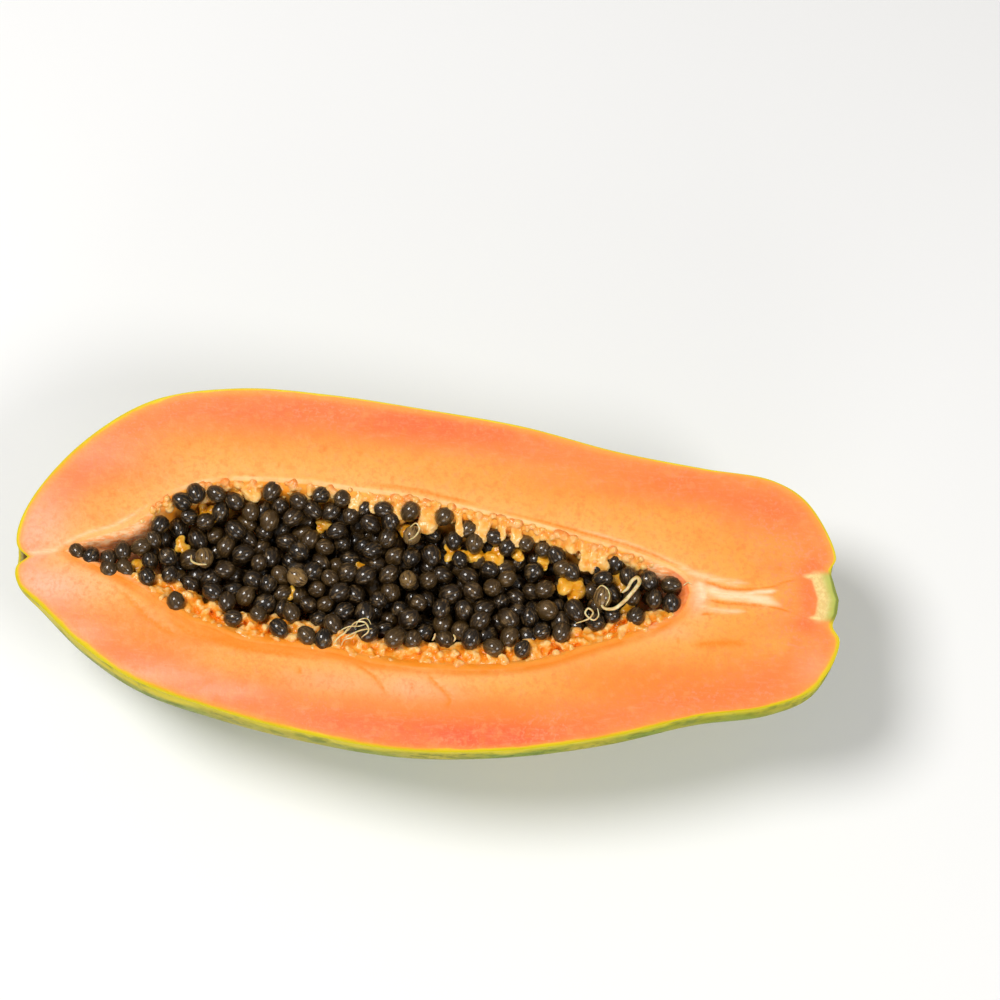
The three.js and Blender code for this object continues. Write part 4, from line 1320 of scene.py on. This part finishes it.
def strand_material():
    """Dried gel skins and stalks: thin, straw-coloured and half see-through."""
    material, tree = new_material("dry straw-coloured seed stalks")
    clump = add(tree, "TexNoise", guides(tree)["place"], Scale=1 / (1.5 * MM))
    colour = add(tree, "ValToRGB", clump, stops=[(0.35, "#C9A65C"), (0.65, "#EBD9A4")])
    return surfaced(material, {
        "Base Color": colour, "Roughness": 0.4, "Subsurface Weight": 0.3, "Subsurface Scale": 1 * MM,
    })


def dress(piece, slot, node, *materials):
    """Gives a piece its materials, and says what it rides on and stands for. The slot is not used."""
    for material in materials:
        piece.data.materials.append(material)
    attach(piece, "root")
    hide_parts(node)


# ---- making ----

half = build_half()
heap_seeds, apart_seeds = all_seeds()
apart_places = np.array([seed[:3] for seed in apart_seeds])
draw_seed = Draw(77)
models = [seed_model(*kind) for kind in SEED_KINDS]
heap = build_seeds("seed_heap", heap_seeds, models, draw_seed)
apart = build_seeds("seeds_by_the_wall", apart_seeds, models, draw_seed)
for model in models:
    bpy.data.objects.remove(model)
draw_pulp = Draw(11)
near_pulp = build_pulp("pulp_near_edge", near_lumps(draw_pulp, apart_places), 7, 0.6)
far_pulp = build_pulp("pulp_far_edge", far_lumps(draw_pulp, apart_places), 3, 0.45)
inner_pulp = build_pulp("pulp_between_seeds", inner_lumps(draw_pulp), 4, 0.4)
strands = build_strands("seed_stalks")

dress(half, "fruit", "papaya_half", rind_material(), flesh_material())
# Each pulp's three colours are painted shade for its gaps, its own orange, and painted highlight for its
# tips.
dress(near_pulp, "fruit", "papaya_half", pulp_material("wet orange pulp", "#F68A18", "#FBA238", "#FDC47A"))
dress(far_pulp, "fruit", "papaya_half", pulp_material("hanging pale pulp", "#F99A38", "#FCB254", "#FDC880"))
# Its colours are its own yellow-orange, darkened further as painted shade for lying deep among the seeds.
dress(inner_pulp, "fruit", "papaya_half", pulp_material("yellow inner pulp", "#E08C10", "#F0A020", "#F6B84C"))
seed_finish = seed_material()
dress(heap, "seeds", "seeds", seed_finish)
dress(apart, "seeds", "seeds", seed_finish)
dress(strands, "seeds", "seeds", strand_material())

# ---- floor, light and camera ----

floor = started("floor", bpy.ops.mesh.primitive_plane_add, size=6)
# Matte paper, nearly white.
paper = new_material("plain pale floor")[0]
floor.data.materials.append(surfaced(paper, {"Base Color": "#F4F3F1", "Roughness": 0.9}))


def soft_light(name, place, aim, size, power):
    """A round lamp, as large as it is soft, turned to what it lights."""
    bpy.ops.object.select_all(action="DESELECT")
    bpy.ops.object.light_add(type="AREA", location=place)
    light = bpy.context.object
    light.name = name
    light.data.shape = "DISK"
    light.data.size = size
    light.data.energy = power
    light.rotation_euler = (Vector(aim) - Vector(place)).to_track_quat("-Z", "Y").to_euler()


soft_light("key", (-0.46, 0.12, 1.0), (0, 0, 0.04), 0.42, 8.6)
soft_light("side", (0.65, -0.45, 0.85), (0, 0, 0.04), 0.42, 4.6)
soft_light("fill", (0.0, -1.1, 0.3), (0, 0, 0.03), 0.7, 3.8)
world = bpy.data.worlds.new("pale room")
world.use_nodes = True
glow = world.node_tree.nodes["Background"].inputs
glow["Color"].default_value, glow["Strength"].default_value = linear("#FFFFFF"), 0.2
bpy.context.scene.world = world
bpy.context.scene.view_settings.view_transform = "Standard"

LENS, SENSOR = 85.0, 36.0
ELEVATION, AZIMUTH = math.radians(71.0), math.radians(3.15)
DISTANCE = 715.0
AIM = Vector(placed(np.array([(20.3, 26.2, 0.0)]))[0])
back = Vector((
    math.sin(AZIMUTH) * math.cos(ELEVATION), -math.cos(AZIMUTH) * math.cos(ELEVATION), math.sin(ELEVATION),
))
bpy.ops.object.camera_add(location=AIM + back * DISTANCE * MM)
camera = bpy.context.object
camera.rotation_euler = (-back).to_track_quat("-Z", "Y").to_euler()
camera.data.lens = LENS
camera.data.sensor_width = SENSOR
camera.data.clip_end = 20
bpy.context.scene.camera = camera
